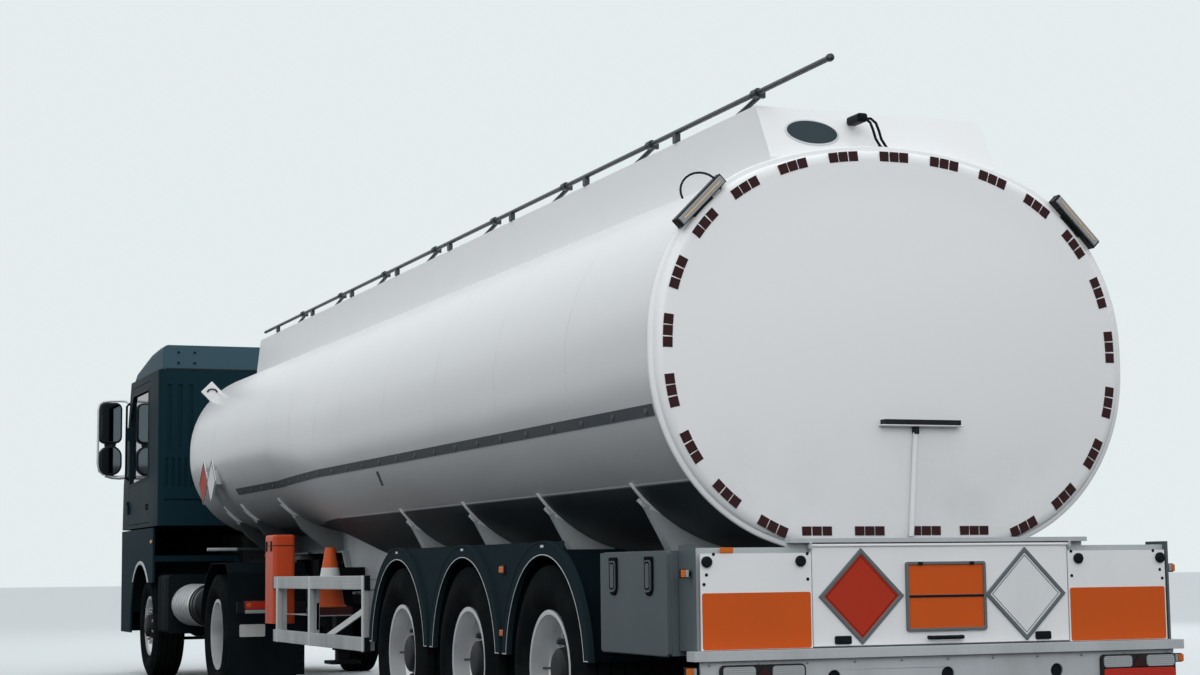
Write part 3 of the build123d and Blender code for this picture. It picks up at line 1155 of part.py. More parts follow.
# Front bumper: one shell round the nose, with the arch sides, the steps' cheeks and a grille opening
PANEL_T = 22
GRILLE_W = 1960
GRILLE_Z0 = 1020
GRILLE_Z1 = SILL_Z - 20
LAMP_Z = 720
TOW_R = 20
TOW_DEPTH = 110
TOW_Z = 780
FRONT_PLATE_Z = 600
with BuildPart() as front_bumper:
    nose = NOSE_X - 20
    tail = STEER_X - 720
    with BuildSketch(Plane.XY.offset(430)):
        with Locations(((tail + nose) / 2, 0)):
            Rectangle(nose - tail, 2 * CAB_HALF_W)
    extrude(amount=SILL_Z - 430)
    fillet(front_bumper.edges().filter_by(Axis.Z).group_by(Axis.X)[-1], CORNER_R)
    with BuildPart(mode=Mode.SUBTRACT) as behind_bumper:
        with BuildSketch(Plane.XY.offset(400)):
            with Locations(((tail - 60 + nose - PANEL_T) / 2, 0)):
                Rectangle(nose - PANEL_T - tail + 60, 2 * (CAB_HALF_W - PANEL_T))
        extrude(amount=SILL_Z - 380)
        fillet(behind_bumper.edges().filter_by(Axis.Z).group_by(Axis.X)[-1], CORNER_R - PANEL_T)
    with BuildSketch(beside(CAB_HALF_W)):
        with Locations((STEER_X, TRACTOR_R)):
            Circle(ARCH_R)
        with Locations((STEER_X - 360, 685)):
            Rectangle(780, 520)
    extrude(amount=2 * CAB_HALF_W, mode=Mode.SUBTRACT)
    with BuildSketch(across(NOSE_X - 300)):
        with Locations((0, (GRILLE_Z0 + GRILLE_Z1) / 2)):
            Rectangle(GRILLE_W, GRILLE_Z1 - GRILLE_Z0)
    extrude(amount=400, mode=Mode.SUBTRACT)
    # lips round the wheel arches
    for side in (1, -1):
        with BuildSketch(beside(side * (CAB_HALF_W + ARCH_LIP_T))):
            with Locations((STEER_X, TRACTOR_R)):
                Circle(ARCH_R + ARCH_LIP)
                Circle(ARCH_R, mode=Mode.SUBTRACT)
            with Locations((STEER_X, ARCH_LIP_Z0)):
                Rectangle(3 * ARCH_R, 2 * ARCH_R, align=(Align.CENTER, Align.MAX), mode=Mode.SUBTRACT)
        extrude(amount=side * ARCH_LIP_T)
    # brackets from the frame's front end
    for side in (1, -1):
        with BuildSketch(across(FRAME_FRONT_X)):
            with Locations((side * (RAIL_Y - 30), 820)):
                Rectangle(80, 220)
        extrude(amount=nose - PANEL_T + 2 - FRAME_FRONT_X)
        with BuildSketch(across(nose + 1)):
            with Locations((side * (RAIL_Y - 30), TOW_Z)):
                Circle(TOW_R)
        extrude(amount=-TOW_DEPTH - 1, mode=Mode.SUBTRACT)
        with BuildSketch(across(nose - TOW_DEPTH)):
            with Locations((side * (RAIL_Y - 30), TOW_Z)):
                Circle(TOW_R + 10)
        extrude(amount=FRAME_FRONT_X - nose + TOW_DEPTH - 1, mode=Mode.SUBTRACT)
        # outriggers that hold the arch sides
        for x in (tail + 30, STEER_X + 760):
            with BuildSketch(beside(side * (CAB_HALF_W - PANEL_T))):
                with Locations((x, 1180)):
                    Rectangle(50, 60)
            extrude(amount=side * (CAB_HALF_W - PANEL_T - RAIL_Y - 40))
            with BuildSketch(beside(side * (RAIL_Y + 40))):
                Polygon((x - 25, RAIL_Z1 - 60), (x + 25, RAIL_Z1 - 60), (x + 25, 1210), (x - 25, 1210),
                        align=None)
            extrude(amount=side * 40)
    with BuildSketch(across(nose)):
        with Locations((0, FRONT_PLATE_Z)):
            Rectangle(PLATE_W, PLATE_H)
    extrude(amount=PLATE_T)
write(front_bumper, "front_bumper")

# Grille: a frame with level slats in the bumper's opening
with BuildPart() as grille:
    with BuildSketch(across(NOSE_X - 20 - PANEL_T)):
        with Locations((0, (GRILLE_Z0 + GRILLE_Z1) / 2)):
            Rectangle(GRILLE_W, GRILLE_Z1 - GRILLE_Z0)
            Rectangle(GRILLE_W - 80, GRILLE_Z1 - GRILLE_Z0 - 80, mode=Mode.SUBTRACT)
            with GridLocations(1, 75, 1, 5):
                Rectangle(GRILLE_W - 80, 30)
            with GridLocations(620, 1, 2, 1):
                Rectangle(30, GRILLE_Z1 - GRILLE_Z0 - 80)
    extrude(amount=PANEL_T)
write(grille, "grille")

# Mirrors: a main head over a wide-angle head on each side, on two arms ahead of the door
MIRROR_X = NOSE_X - 420
with BuildPart() as mirrors:
    for side in (1, -1):
        # foot, height, length and corner of the wide-angle head, the neck and the main head
        for z, height, length, corner in ((2072, 318, 120, 45), (2385, 30, 60, 20), (2410, 440, 120, 45)):
            with BuildSketch(Plane.XY.offset(z)):
                with Locations((MIRROR_X, side * (MIRROR_Y0 + MIRROR_Y1) / 2)):
                    RectangleRounded(length, MIRROR_Y1 - MIRROR_Y0, corner)
            extrude(amount=height)
        for x, z in ((MIRROR_X + 30, 2125), (MIRROR_X - 45, 2680)):
            with BuildSketch(beside(side * (MIRROR_Y0 + 20))):
                with Locations((x, z)):
                    RectangleRounded(44, 40, 12)
            extrude(amount=side * (MIRROR_Y0 + 20 - CAB_HALF_W + 40))
    add(cab_shell.part, mode=Mode.SUBTRACT)
    add(windscreen.part, mode=Mode.SUBTRACT)
write(mirrors, "mirrors")

# Cab interior: two seats, bunk, dashboard and steering wheel
with BuildPart() as cab_interior:
    floor = CAB_Z0 + CAB_WALL
    for y in (620, -620):
        with BuildSketch(beside(y + 250)):
            Polygon((STEER_X - 90, floor), (STEER_X + 330, floor), (STEER_X + 380, 1870),
                    (STEER_X + 400, 1980), (STEER_X - 60, 1980), (STEER_X - 190, 2640), (STEER_X - 300, 2620),
                    (STEER_X - 180, 1850), align=None)
        extrude(amount=500)
    with BuildSketch(beside(CAB_HALF_W - CAB_WALL - 20)):
        Polygon((CAB_REAR_X + CAB_WALL, floor), (STEER_X - 330, floor), (STEER_X - 330, 1960),
                (CAB_REAR_X + CAB_WALL, 1960), align=None)
    extrude(amount=2 * (CAB_HALF_W - CAB_WALL - 20))
    with BuildSketch(beside(CAB_HALF_W - CAB_WALL - 60)):
        Polygon((STEER_X + 900, floor), (CHIN_X - CAB_WALL - 60, floor),
                (SCREEN_FOOT_X - CAB_WALL - 80, 1960), (STEER_X + 900, 2030), (STEER_X + 800, 1900),
                align=None)
    extrude(amount=2 * (CAB_HALF_W - CAB_WALL - 60))
    wheel_tilt = Plane(origin=(STEER_X + 700, 620, 2040), x_dir=(0, 1, 0), z_dir=(0.42, 0, -0.9))
    with BuildSketch(wheel_tilt):
        Circle(225)
        Circle(190, mode=Mode.SUBTRACT)
        Rectangle(400, 44)
        Circle(60)
    extrude(amount=28)
    with BuildSketch(wheel_tilt):
        Circle(35)
    extrude(amount=420)
write(cab_interior, "cab_interior")

# Tractor mudguards: half-round over the twin wheels, an arch liner over each front wheel, mud flaps
DRIVE_GUARD_T = 8
DRIVE_GUARD_W = 660
# outer line of the drive wheels' mudguard: along from the axle, height
DRIVE_GUARD = [(-592, 500), (-592, 1030), (-505, 1112), (90, 1112), (340, 1000), (525, 800), (592, 620)]
with BuildPart() as tractor_mudguards:
    for side in (1, -1):
        with BuildSketch(beside(side * HALF_W)):
            with BuildLine():
                Polyline([(DRIVE_X + along * out, z - up) for up, out in ((0, 1), (DRIVE_GUARD_T, 0.986))
                          for along, z in (DRIVE_GUARD if up == 0 else DRIVE_GUARD[::-1])], close=True)
            make_face()
        extrude(amount=side * DRIVE_GUARD_W)
        # stays from the frame rail
        for along in (-585, 536):
            with BuildSketch(beside(side * (HALF_W - DRIVE_GUARD_W + 10))):
                with Locations((DRIVE_X + along, 760)):
                    Circle(20)
            extrude(amount=side * (HALF_W - DRIVE_GUARD_W + 10 - RAIL_Y))
        # flap behind the twin wheels
        with BuildSketch(across(DRIVE_X - TRACTOR_R - 81)):
            with Locations((side * 920, 410)):
                Rectangle(640, 460)
        extrude(amount=10)
        # front wheel liner
        with BuildSketch(beside(side * (CAB_HALF_W - PANEL_T))):
            with BuildLine():
                CenterArc((STEER_X, TRACTOR_R), ARCH_R + 24, 12, 156)
                CenterArc((STEER_X, TRACTOR_R), ARCH_R + 32, 12, 156)
                for a in (12, 168):
                    c, s = cos(radians(a)), sin(radians(a))
                    Line((STEER_X + (ARCH_R + 24) * c, TRACTOR_R + (ARCH_R + 24) * s),
                         (STEER_X + (ARCH_R + 32) * c, TRACTOR_R + (ARCH_R + 32) * s))
            make_face()
        extrude(amount=side * (CAB_HALF_W - PANEL_T - 640))
write(tractor_mudguards, "tractor_mudguards")

# Tanks along the tractor's frame: ribbed silencer and battery box on the left, fuel tank on the right
SILENCER_R = 188
SILENCER_RIBS = 8
SILENCER_PITCH = 135
with BuildPart() as side_tanks:
    with BuildSketch(across(PIN_X + 560)):
        with Locations((1000, 735)):
            Circle(SILENCER_R)
    extrude(amount=1180)
    fillet(side_tanks.edges().group_by(Axis.X)[0], 60)
    for i in range(SILENCER_RIBS):
        with BuildSketch(across(PIN_X + 690 + SILENCER_PITCH * i)):
            with Locations((1000, 735)):
                Circle(SILENCER_R + 8)
        extrude(amount=20)
    for x in (PIN_X + 800, PIN_X + 1500):
        with BuildSketch(across(x)):
            with Locations(((RAIL_Y + 900) / 2, 735), (-(RAIL_Y + 900) / 2, 735)):
                Rectangle(900 - RAIL_Y, 90)
        extrude(amount=60)
    with BuildSketch(across(PIN_X + 560)):
        with Locations((-870, 730)):
            RectangleRounded(680, 620, 130)
    extrude(amount=1500)
    with BuildSketch(across(PIN_X + 1790)):
        with Locations(((RAIL_Y + 1210) / 2, 740)):
            RectangleRounded(1210 - RAIL_Y, 560, 40)
    extrude(amount=560)
write(side_tanks, "side_tanks")

# Tractor lamps: headlamps in the bumper and the tail lamps behind the twin wheels
with BuildPart() as tractor_lamps:
    for side in (1, -1):
        with BuildSketch(across(NOSE_X - 20)):
            with Locations((side * 850, LAMP_Z)):
                RectangleRounded(380, 190, 50)
        extrude(amount=20)
        with BuildSketch(across(FRAME_REAR_X - 8)):
            with Locations((side * 1060, RAIL_Z0 + 55)):
                RectangleRounded(220, 110, 20)
        extrude(amount=-40)
write(tractor_lamps, "tractor_lamps")
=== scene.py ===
import math
import bmesh
import bpy
from mathutils import Matrix, Vector


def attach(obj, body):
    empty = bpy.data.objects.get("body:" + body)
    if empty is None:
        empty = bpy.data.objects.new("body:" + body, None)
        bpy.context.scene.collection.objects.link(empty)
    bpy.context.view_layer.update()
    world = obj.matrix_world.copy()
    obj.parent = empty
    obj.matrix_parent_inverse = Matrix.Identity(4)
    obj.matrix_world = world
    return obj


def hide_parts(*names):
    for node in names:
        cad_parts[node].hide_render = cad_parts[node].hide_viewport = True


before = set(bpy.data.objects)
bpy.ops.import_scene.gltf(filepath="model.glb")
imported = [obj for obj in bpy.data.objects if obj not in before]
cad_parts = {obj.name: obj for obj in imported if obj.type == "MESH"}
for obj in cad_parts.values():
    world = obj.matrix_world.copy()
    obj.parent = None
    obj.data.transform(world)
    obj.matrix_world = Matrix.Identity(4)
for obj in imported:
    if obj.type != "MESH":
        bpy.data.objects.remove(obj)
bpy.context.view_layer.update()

scene = bpy.context.scene
scene.view_settings.view_transform = "Standard"

# Camera: low beside the lane, behind the left rear corner, looking along the tank to the cab.
EYE = Vector((-15.899, 4.901, 1.006))
YAW, PITCH, ROLL = -0.3733, 0.1081, -0.0116
LENS, SENSOR = 64.62, 36.0
ahead = Vector((math.cos(PITCH) * math.cos(YAW), math.cos(PITCH) * math.sin(YAW), math.sin(PITCH)))
level = Vector((math.sin(YAW), -math.cos(YAW), 0))
over = level.cross(ahead)
right = math.cos(ROLL) * level + math.sin(ROLL) * over
up = math.cos(ROLL) * over - math.sin(ROLL) * level
lens = bpy.data.cameras.new("camera")
lens.lens, lens.sensor_width, lens.sensor_fit = LENS, SENSOR, "HORIZONTAL"
lens.clip_start, lens.clip_end = 0.1, 500
camera = bpy.data.objects.new("camera", lens)
camera.matrix_world = Matrix((right, up, -ahead)).transposed().to_4x4()
camera.location = EYE
scene.collection.objects.link(camera)
scene.camera = camera

# Studio: an endless pale floor and an even, bright sky, as on a dull day. The floor looks pale to
# the camera, and throws back as little light as a dark road does.


class Term:
    """One shader socket. Arithmetic on it adds the Math node that does the sum."""

    def __init__(self, finish, socket):
        self.finish, self.socket = finish, socket

    def sum(self, operation, *others):
        return self.finish.node("ShaderNodeMath", {"operation": operation}, self, *others)

    def __add__(self, other):
        return self.sum("ADD", other)

    def __sub__(self, other):
        return self.sum("SUBTRACT", other)

    def __mul__(self, other):
        return self.sum("MULTIPLY", other)

    def __rsub__(self, other):
        return self.finish.node("ShaderNodeMath", {"operation": "SUBTRACT"}, other, self)

    def __gt__(self, other):
        return self.sum("GREATER_THAN", other)

    def __lt__(self, other):
        return self.sum("LESS_THAN", other)

    def __abs__(self):
        return self.sum("ABSOLUTE")

    def clamped(self):
        return self.finish.node("ShaderNodeClamp", {}, self)

    def most(self, other):
        return self.sum("MAXIMUM", other)

    def wave(self):
        return self.sum("SINE")

    __radd__, __rmul__ = __add__, __mul__


# stretch of a noise whose patches run downward
DRIFT = (1.0, 1.0, 0.4)


class Finish:
    """A material on one Principled shader, whose nodes all come from node(); shine is its gloss."""

    def __init__(self, name, colour, rough, metal=0.0, shine=0.25, **sockets):
        self.material = bpy.data.materials.new(name)
        self.material.use_nodes = True
        self.tree = self.material.node_tree
        self.shader = self.tree.nodes["Principled BSDF"]
        self.shader.inputs["Base Color"].default_value = (*colour, 1)
        self.shader.inputs["Roughness"].default_value = rough
        self.shader.inputs["Metallic"].default_value = metal
        self.shader.inputs["Specular IOR Level"].default_value = shine
        self.colour, self.rough = colour, rough
        for label, value in sockets.items():
            self.shader.inputs[label.replace("_", " ")].default_value = value
        self.places = None

    def node(self, kind, settings, *values, out=0, **named):
        made = self.tree.nodes.new(kind)
        for key, value in settings.items():
            setattr(made, key, value)
        pairs = list(zip(made.inputs, values))
        pairs += [(made.inputs[k.replace("_", " ")], v) for k, v in named.items()]
        for socket, value in pairs:
            if isinstance(value, Term):
                self.tree.links.new(value.socket, socket)
            elif value is not None:
                socket.default_value = value
        return Term(self, made.outputs[out])

    def place(self):
        """Object coordinates, and the three numbers in them."""
        if self.places is None:
            point = self.node("ShaderNodeTexCoord", {}, out=3)
            split = self.node("ShaderNodeSeparateXYZ", {}, point)
            self.places = point, *(Term(self, s) for s in split.socket.node.outputs)
        return self.places

    def noise(self, scale, detail=4.0, rough=0.55, stretch=None):
        point = self.place()[0]
        if stretch:
            point = self.node("ShaderNodeMapping", {}, point, Scale=stretch)
        return self.node("ShaderNodeTexNoise", {}, point, Scale=scale, Detail=detail, Roughness=rough)

    def mix(self, amount, low, high):
        """Colour from low to high; the sockets of a colour Mix are 0, 6 and 7."""
        made = self.tree.nodes.new("ShaderNodeMix")
        made.data_type = "RGBA"
        for socket, value in ((made.inputs[0], amount), (made.inputs[6], low), (made.inputs[7], high)):
            if isinstance(value, Term):
                self.tree.links.new(value.socket, socket)
            else:
                socket.default_value = value if isinstance(value, float) else (*value, 1)[:4]
        return Term(self, made.outputs[2])

    def feed(self, **sockets):
        for label, term in sockets.items():
            self.tree.links.new(term.socket, self.shader.inputs[label.replace("_", " ")])
        return self

    def bump(self, height, depth, strength=1.0):
        made = self.node("ShaderNodeBump", {}, Strength=strength, Distance=depth, Height=height)
        return self.feed(Normal=made)

    def grained(self, scale, detail, depth, strength):
        """A fine even grain in the surface."""
        return self.bump(self.noise(scale, detail), depth, strength)

    def patches(self, scale, detail, floor, gain, *shape):
        """Noise above a floor, made stronger and held between 0 and 1."""
        return ((self.noise(scale, detail, *shape) - floor) * gain).clamped()

    def worn(self, dust, amount=0.5, scale=2.5, grain=160.0, depth=0.0006, low_z=1.1):
        """Road film in drifting patches, thicker low down, over a faint grain in the surface."""
        pz = self.place()[3]
        film = self.patches(scale, 6.0, 0.38, 2.4, 0.6, DRIFT)
        lower = ((low_z - pz) * 1.3 + 0.25).clamped()
        cover = (film * (0.35 + lower * 0.65) * amount).clamped()
        self.feed(Base_Color=self.mix(cover, self.colour, dust), Roughness=cover * 0.35 + self.rough)
        return self.grained(grain, 3.0, depth, 0.6)


FLOOR_HALF = 220
FLOOR_SEEN = (0.70, 0.74, 0.75)
FLOOR_LIT = (0.045, 0.050, 0.053)
SKY = (0.78, 0.845, 0.855)
floor_finish = Finish("studio_floor", FLOOR_LIT, 0.8)
rays = floor_finish.node("ShaderNodeLightPath", {}).socket.node.outputs
shown = Term(floor_finish, rays["Is Camera Ray"]).most(Term(floor_finish, rays["Is Transmission Ray"]))
floor_finish.feed(Base_Color=floor_finish.mix(shown, FLOOR_LIT, FLOOR_SEEN))
floor_mesh = bpy.data.meshes.new("floor")
floor_mesh.from_pydata([(x * FLOOR_HALF, y * FLOOR_HALF, 0) for x, y in ((-1, -1), (1, -1), (1, 1), (-1, 1))],
                       [], [(0, 1, 2, 3)])
floor_mesh.materials.append(floor_finish.material)
floor = bpy.data.objects.new("floor", floor_mesh)
scene.collection.objects.link(floor)

world = bpy.data.worlds.new("sky")
scene.world = world
world.use_nodes = True
sky_nodes = world.node_tree.nodes
sky_light = sky_nodes["Background"]
sky_light.inputs["Color"].default_value = (0.93, 0.97, 1.0, 1)
sky_light.inputs["Strength"].default_value = 0.86
sky_seen, paths, either, blend = (sky_nodes.new("ShaderNode" + kind) for kind in (
    "Background", "LightPath", "Math", "MixShader"))
sky_seen.inputs["Color"].default_value = (*SKY, 1)
either.operation = "MAXIMUM"
for giver, out, taker, into in (
        (paths, "Is Camera Ray", either, 0), (paths, "Is Transmission Ray", either, 1), (either, 0, blend, 0),
        (sky_light, 0, blend, 1), (sky_seen, 0, blend, 2), (blend, 0, sky_nodes["World Output"], "Surface")):
    world.node_tree.links.new(giver.outputs[out], taker.inputs[into])
# name, place, aim, size, watts
for name, place, aim, size, watts in (
        ("lamp_over", (-3, 2, 14), (0, 0, 1), 14, 450),
        ("lamp_rear_left", (-22, 6, 8), (-3, 0, 1.5), 9, 700),
        ("lamp_front_right", (18, -12, 9), (3, 0, 1.5), 9, 700)):
    lamp = bpy.data.lights.new(name, "AREA")
    lamp.size, lamp.energy = size, watts
    holder = bpy.data.objects.new(name, lamp)
    holder.location = place
    holder.rotation_euler = (Vector(aim) - Vector(place)).to_track_quat("-Z", "Y").to_euler()
    scene.collection.objects.link(holder)

# Tank barrel: rolled and welded aluminium sheet in white paint, an oval of side, crown and corner
# arcs, deeper behind the cone, with a dished rear head inside a rolled bead and a domed front head.
REAR_OVAL = (1.228, 2.957, 1.030, 3.0, 2.0, 0.860)
NECK_OVAL = (1.165, 2.957, 1.290, 3.0, 2.0, 0.730)
TANK_REAR, CONE_REAR, CONE_FRONT, TANK_FRONT = -7.125, -0.915, 0.885, 4.085
DOME, BEAD_END, LOW_SEAM_Z = 0.283, 0.022, 1.405
SEAMS = (-6.05, -4.95, -3.85, -2.75, -1.65, CONE_REAR, 0.0, CONE_FRONT, 1.95, 3.0)
ROUND = 256


def oval_ring(shape, count):
    """Points and outward normals round a tank section, evenly spaced, from the left side upward."""
    half_w, top, bottom, side_r, crown_r, corner_r = shape
    mid, half_h = (top + bottom) / 2, (top - bottom) / 2
    side_c, crown_c = half_w - side_r, half_h - crown_r
    reach_s, reach_c, span = side_r - corner_r, crown_r - corner_r, math.hypot(side_c, crown_c)
    along = (reach_s**2 - reach_c**2 + span**2) / (2 * span)
    off = math.sqrt(reach_s**2 - along**2)
    ux, uz = -side_c / span, crown_c / span
    cx, cz = max(((side_c + along * ux + s * off * uz, along * uz - s * off * ux) for s in (1, -1)), key=sum)
    low, high = math.atan2(cz, cx - side_c), math.atan2(cz - crown_c, cx)
    # centre y, centre z, radius, start angle, sweep for a quarter from the side to the crown
    arcs = ((side_c, 0, side_r, 0, low), (cx, cz, corner_r, low, high - low),
            (0, crown_c, crown_r, high, math.pi / 2 - high))
    total = sum(r * sweep for _, _, r, _, sweep in arcs)
    quarter = []
    for i in range(count // 4 + 1):
        s = total * i / (count // 4)
        for y, z, r, start, sweep in arcs:
            if s <= r * sweep + 1e-9 or (y, z) == (0, crown_c):
                a = start + s / r
                quarter.append((y + r * math.cos(a), z + r * math.sin(a), math.cos(a), math.sin(a)))
                break
            s -= r * sweep
    ring = quarter + [(-y, z, -ny, nz) for y, z, ny, nz in reversed(quarter[:-1])]
    ring += [(y, -z, ny, -nz) for y, z, ny, nz in reversed(ring[1:-1])]
    return [(y, z + mid, ny, nz) for y, z, ny, nz in ring]


rear_ring, neck_ring = oval_ring(REAR_OVAL, ROUND), oval_ring(NECK_OVAL, ROUND)


def section(x):
    """The tank's ring of points and normals at a place along it."""
    t = min(max((x - CONE_REAR) / (CONE_FRONT - CONE_REAR), 0), 1)
    return [tuple(a + (b - a) * t for a, b in zip(p, q)) for p, q in zip(rear_ring, neck_ring)]


def flank(x, z, proud=0.0, side=1):
    """A point on the tank's flank at a height, standing off it by proud."""
    lower = section(x)[-ROUND // 4:] + section(x)[:ROUND // 4 + 1]
    for p, q in zip(lower, lower[1:]):
        if p[1] <= z <= q[1]:
            t = (z - p[1]) / (q[1] - p[1])
            y, _, ny, nz = (a + (b - a) * t for a, b in zip(p, q))
            return Vector((x, side * (y + ny * proud), z + nz * proud))


class Stock:
    """Raw shapes gathered into one mesh: plate and bar, turned work, tube and lofted skin."""

    def __init__(self):
        self.verts, self.faces = [], []

    def add(self, verts, faces):
        base = len(self.verts)
        self.verts += [tuple(v) for v in verts]
        self.faces += [tuple(base + i for i in face) for face in faces]
        return self

    def loft(self, rows, closed=False):
        """A skin over rows of as many points each; open rows are capped at both ends."""
        n, count = len(rows), len(rows[0])
        faces = [(i * count + j, i * count + (j + 1) % count, (i + 1) % n * count + (j + 1) % count,
                  (i + 1) % n * count + j) for i in range(n if closed else n - 1) for j in range(count)]
        if not closed:
            faces += [tuple(range(count)), tuple(range((n - 1) * count, n * count))]
        return self.add([v for row in rows for v in row], faces)

    def plate(self, outline, axis, low, high, hole=None):
        """An outline in the two other directions, pushed along an axis; hole has as many points."""
        loops = [(outline, low), (outline, high)] + ([(hole, high), (hole, low)] if hole else [])
        return self.loft([[(*p[:axis], along, *p[axis:]) for p in loop] for loop, along in loops], bool(hole))

    def block(self, low, high):
        (x0, y0, z0), (x1, y1, z1) = low, high
        return self.plate([(y0, z0), (y1, z0), (y1, z1), (y0, z1)], 0, x0, x1)

    def turned(self, profile, centre, axis, count=48, closed=False):
        """A profile of (along, radius) turned about an axis; an open one is capped at both ends."""
        a, b = [i for i in range(3) if i != axis]
        rows = []
        for along, radius in profile:
            row = []
            for j in range(count):
                turn = 2 * math.pi * j / count
                v = list(centre)
                v[axis] += along
                v[a] += radius * math.cos(turn)
                v[b] += radius * math.sin(turn)
                row.append(v)
            rows.append(row)
        return self.loft(rows, closed)

    def tube(self, path, radius, count=12):
        """A round bar along a line of points, its ring carried square from point to point."""
        path = [Vector(p) for p in path]
        side = (path[1] - path[0]).orthogonal().normalized()
        turns = [2 * math.pi * j / count for j in range(count)]
        rows = []
        for i, p in enumerate(path):
            run = (path[min(i + 1, len(path) - 1)] - path[max(i - 1, 0)]).normalized()
            side = (side - run * side.dot(run)).normalized()
            other = run.cross(side)
            rows.append([p + radius * (math.cos(a) * side + math.sin(a) * other) for a in turns])
        return self.loft(rows)

    def both(self):
        """The same again on the other side of the lorry."""
        return self.add([(x, -y, z) for x, y, z in self.verts], self.faces)

    def mesh(self, name, sharp=35.0):
        """Join the doubles, face the shells outward and keep the edges sharper than an angle."""
        made = bpy.data.meshes.new(name)
        made.from_pydata(self.verts, [], self.faces)
        work = bmesh.new()
        work.from_mesh(made)
        bmesh.ops.remove_doubles(work, verts=work.verts, dist=2e-5)
        bmesh.ops.dissolve_degenerate(work, edges=work.edges, dist=1e-6)
        bmesh.ops.recalc_face_normals(work, faces=work.faces)
        work.to_mesh(made)
        work.free()
        made.shade_smooth()
        made.set_sharp_from_angle(angle=math.radians(sharp))
        return made

    def piece(self, name, finish, body, slot, edge=0.0, sharp=35.0, replaces=()):
        """Bevel the shape by edge, dress it and hang it on its body."""
        made = bpy.data.objects.new(name, self.mesh(name, sharp))
        made.data.materials.append(finish.material)
        scene.collection.objects.link(made)
        if edge:
            bevel = made.modifiers.new("edges", "BEVEL")
            bevel.width, bevel.segments, bevel.limit_method = edge, 2, "ANGLE"
            bevel.angle_limit = math.radians(sharp)
        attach(made, body)
        if replaces:
            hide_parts(*replaces)
        return made


def ring_at(ring, x, inset):
    return [(x, y - ny * inset, z - nz * inset) for y, z, ny, nz in ring]


def shrunk(ring, x, part):
    mid = sum(z for _, z, _, _ in ring) / len(ring)
    return [(x, y * part, mid + (z - mid) * part) for y, z, _, _ in ring]


rings = [shrunk(rear_ring, TANK_REAR - 0.030 - 0.024 * (1 - part**2), part)
         for part in (0.03, 0.2, 0.4, 0.6, 0.75, 0.86)]
for k in range(7):
    turn = math.pi / 2 * k / 6
    rings.append(ring_at(rear_ring, TANK_REAR - 0.012 - 0.028 * math.cos(turn),
                         0.012 + 0.05 * (1 - math.sin(turn))))
# the rolled bead: along, inset
for x, inset in ((-0.012, 0.012), (-0.012, -0.006), (-0.008, -0.011), (-0.002, -0.012), (0.014, -0.012),
                 (0.020, -0.010), (BEAD_END, -0.004), (BEAD_END, 0.0)):
    rings.append(ring_at(rear_ring, TANK_REAR + x, inset))
for x0, x1, steps in ((TANK_REAR + BEAD_END, CONE_REAR, 24), (CONE_REAR, CONE_FRONT, 12),
                      (CONE_FRONT, TANK_FRONT, 12)):
    for k in range(1, steps + 1):
        x = x0 + (x1 - x0) * k / steps
        rings.append(ring_at(section(x), x, 0))
for k in range(1, 13):
    turn = math.pi / 2 * k / 12
    rings.append(ring_at(neck_ring, TANK_FRONT + DOME * math.sin(turn), DOME * (1 - math.cos(turn))))
for part in (0.7, 0.45, 0.2, 0.03):
    rings.append(shrunk([(y - ny * DOME, z - nz * DOME, ny, nz) for y, z, ny, nz in neck_ring],
                        TANK_FRONT + DOME + 0.006 * (1 - part), part))
# The rear head is painted a paler white than the barrel, as painted light.
WHITE, HEAD_LIT_WHITE = (0.80, 0.81, 0.815), (0.92, 0.93, 0.935)
white_paint = Finish("white_tank_paint", WHITE, 0.3, shine=0.35)
_, px, py, pz = white_paint.place()
on_barrel = px > TANK_REAR
seams = 0.0
for x in SEAMS:
    seams = (1 - (abs(px - x) * 110).clamped()) + seams
low_seam = (1 - (abs(pz - LOW_SEAM_Z) * 120).clamped()) * (px < CONE_REAR) * on_barrel
streaks = white_paint.patches(1.7, 6.0, 0.42, 2.2, 0.6, (0.3, 1.0, 0.8))
# Painted shade: the barrel darker towards the bottom, a step darker below the low seam and darker low on the
# neck; the rear head darker towards its bottom and its right side.
neck_shade = ((px + 0.6) * 0.5).clamped() * ((1.82 - pz) * 2.2).clamped() * 0.45
shade = (((2.20 - pz) * 0.66).clamped() * 0.88 + (pz < LOW_SEAM_Z) * 0.5 + neck_shade) * on_barrel
head_shade = ((2.35 - pz) * 0.11 - py * 0.02).clamped() * (1 - on_barrel)
# Dirt streaks low on the barrel are added to the painted shade; the white goes towards one dark colour, road
# film on the streaks and painted shade elsewhere.
dirt_and_shade = (streaks * ((1.75 - pz) * 1.2).clamped() * 0.35 + shade + head_shade).clamped()
film = white_paint.mix(dirt_and_shade, white_paint.mix(on_barrel, HEAD_LIT_WHITE, WHITE), (0.018, 0.027, 0.033))
white_paint.feed(Base_Color=white_paint.mix((low_seam * 0.7).clamped(), film, (0.62, 0.63, 0.64)),
                 Roughness=dirt_and_shade * 0.25 + 0.24)
dents = white_paint.noise(1.1, 2.0, stretch=(0.5, 1.0, 1.6))
dents = dents * (((2.1 - pz) * 1.4).clamped() * 4.0 + 1.2) * on_barrel
white_paint.bump(seams * 0.5 + low_seam * 0.6 + dents, 0.005, 0.8)
Stock().loft(rings).piece("tank_barrel", white_paint, "trailer", "barrel_paint", sharp=50,
                          replaces=("tank",))

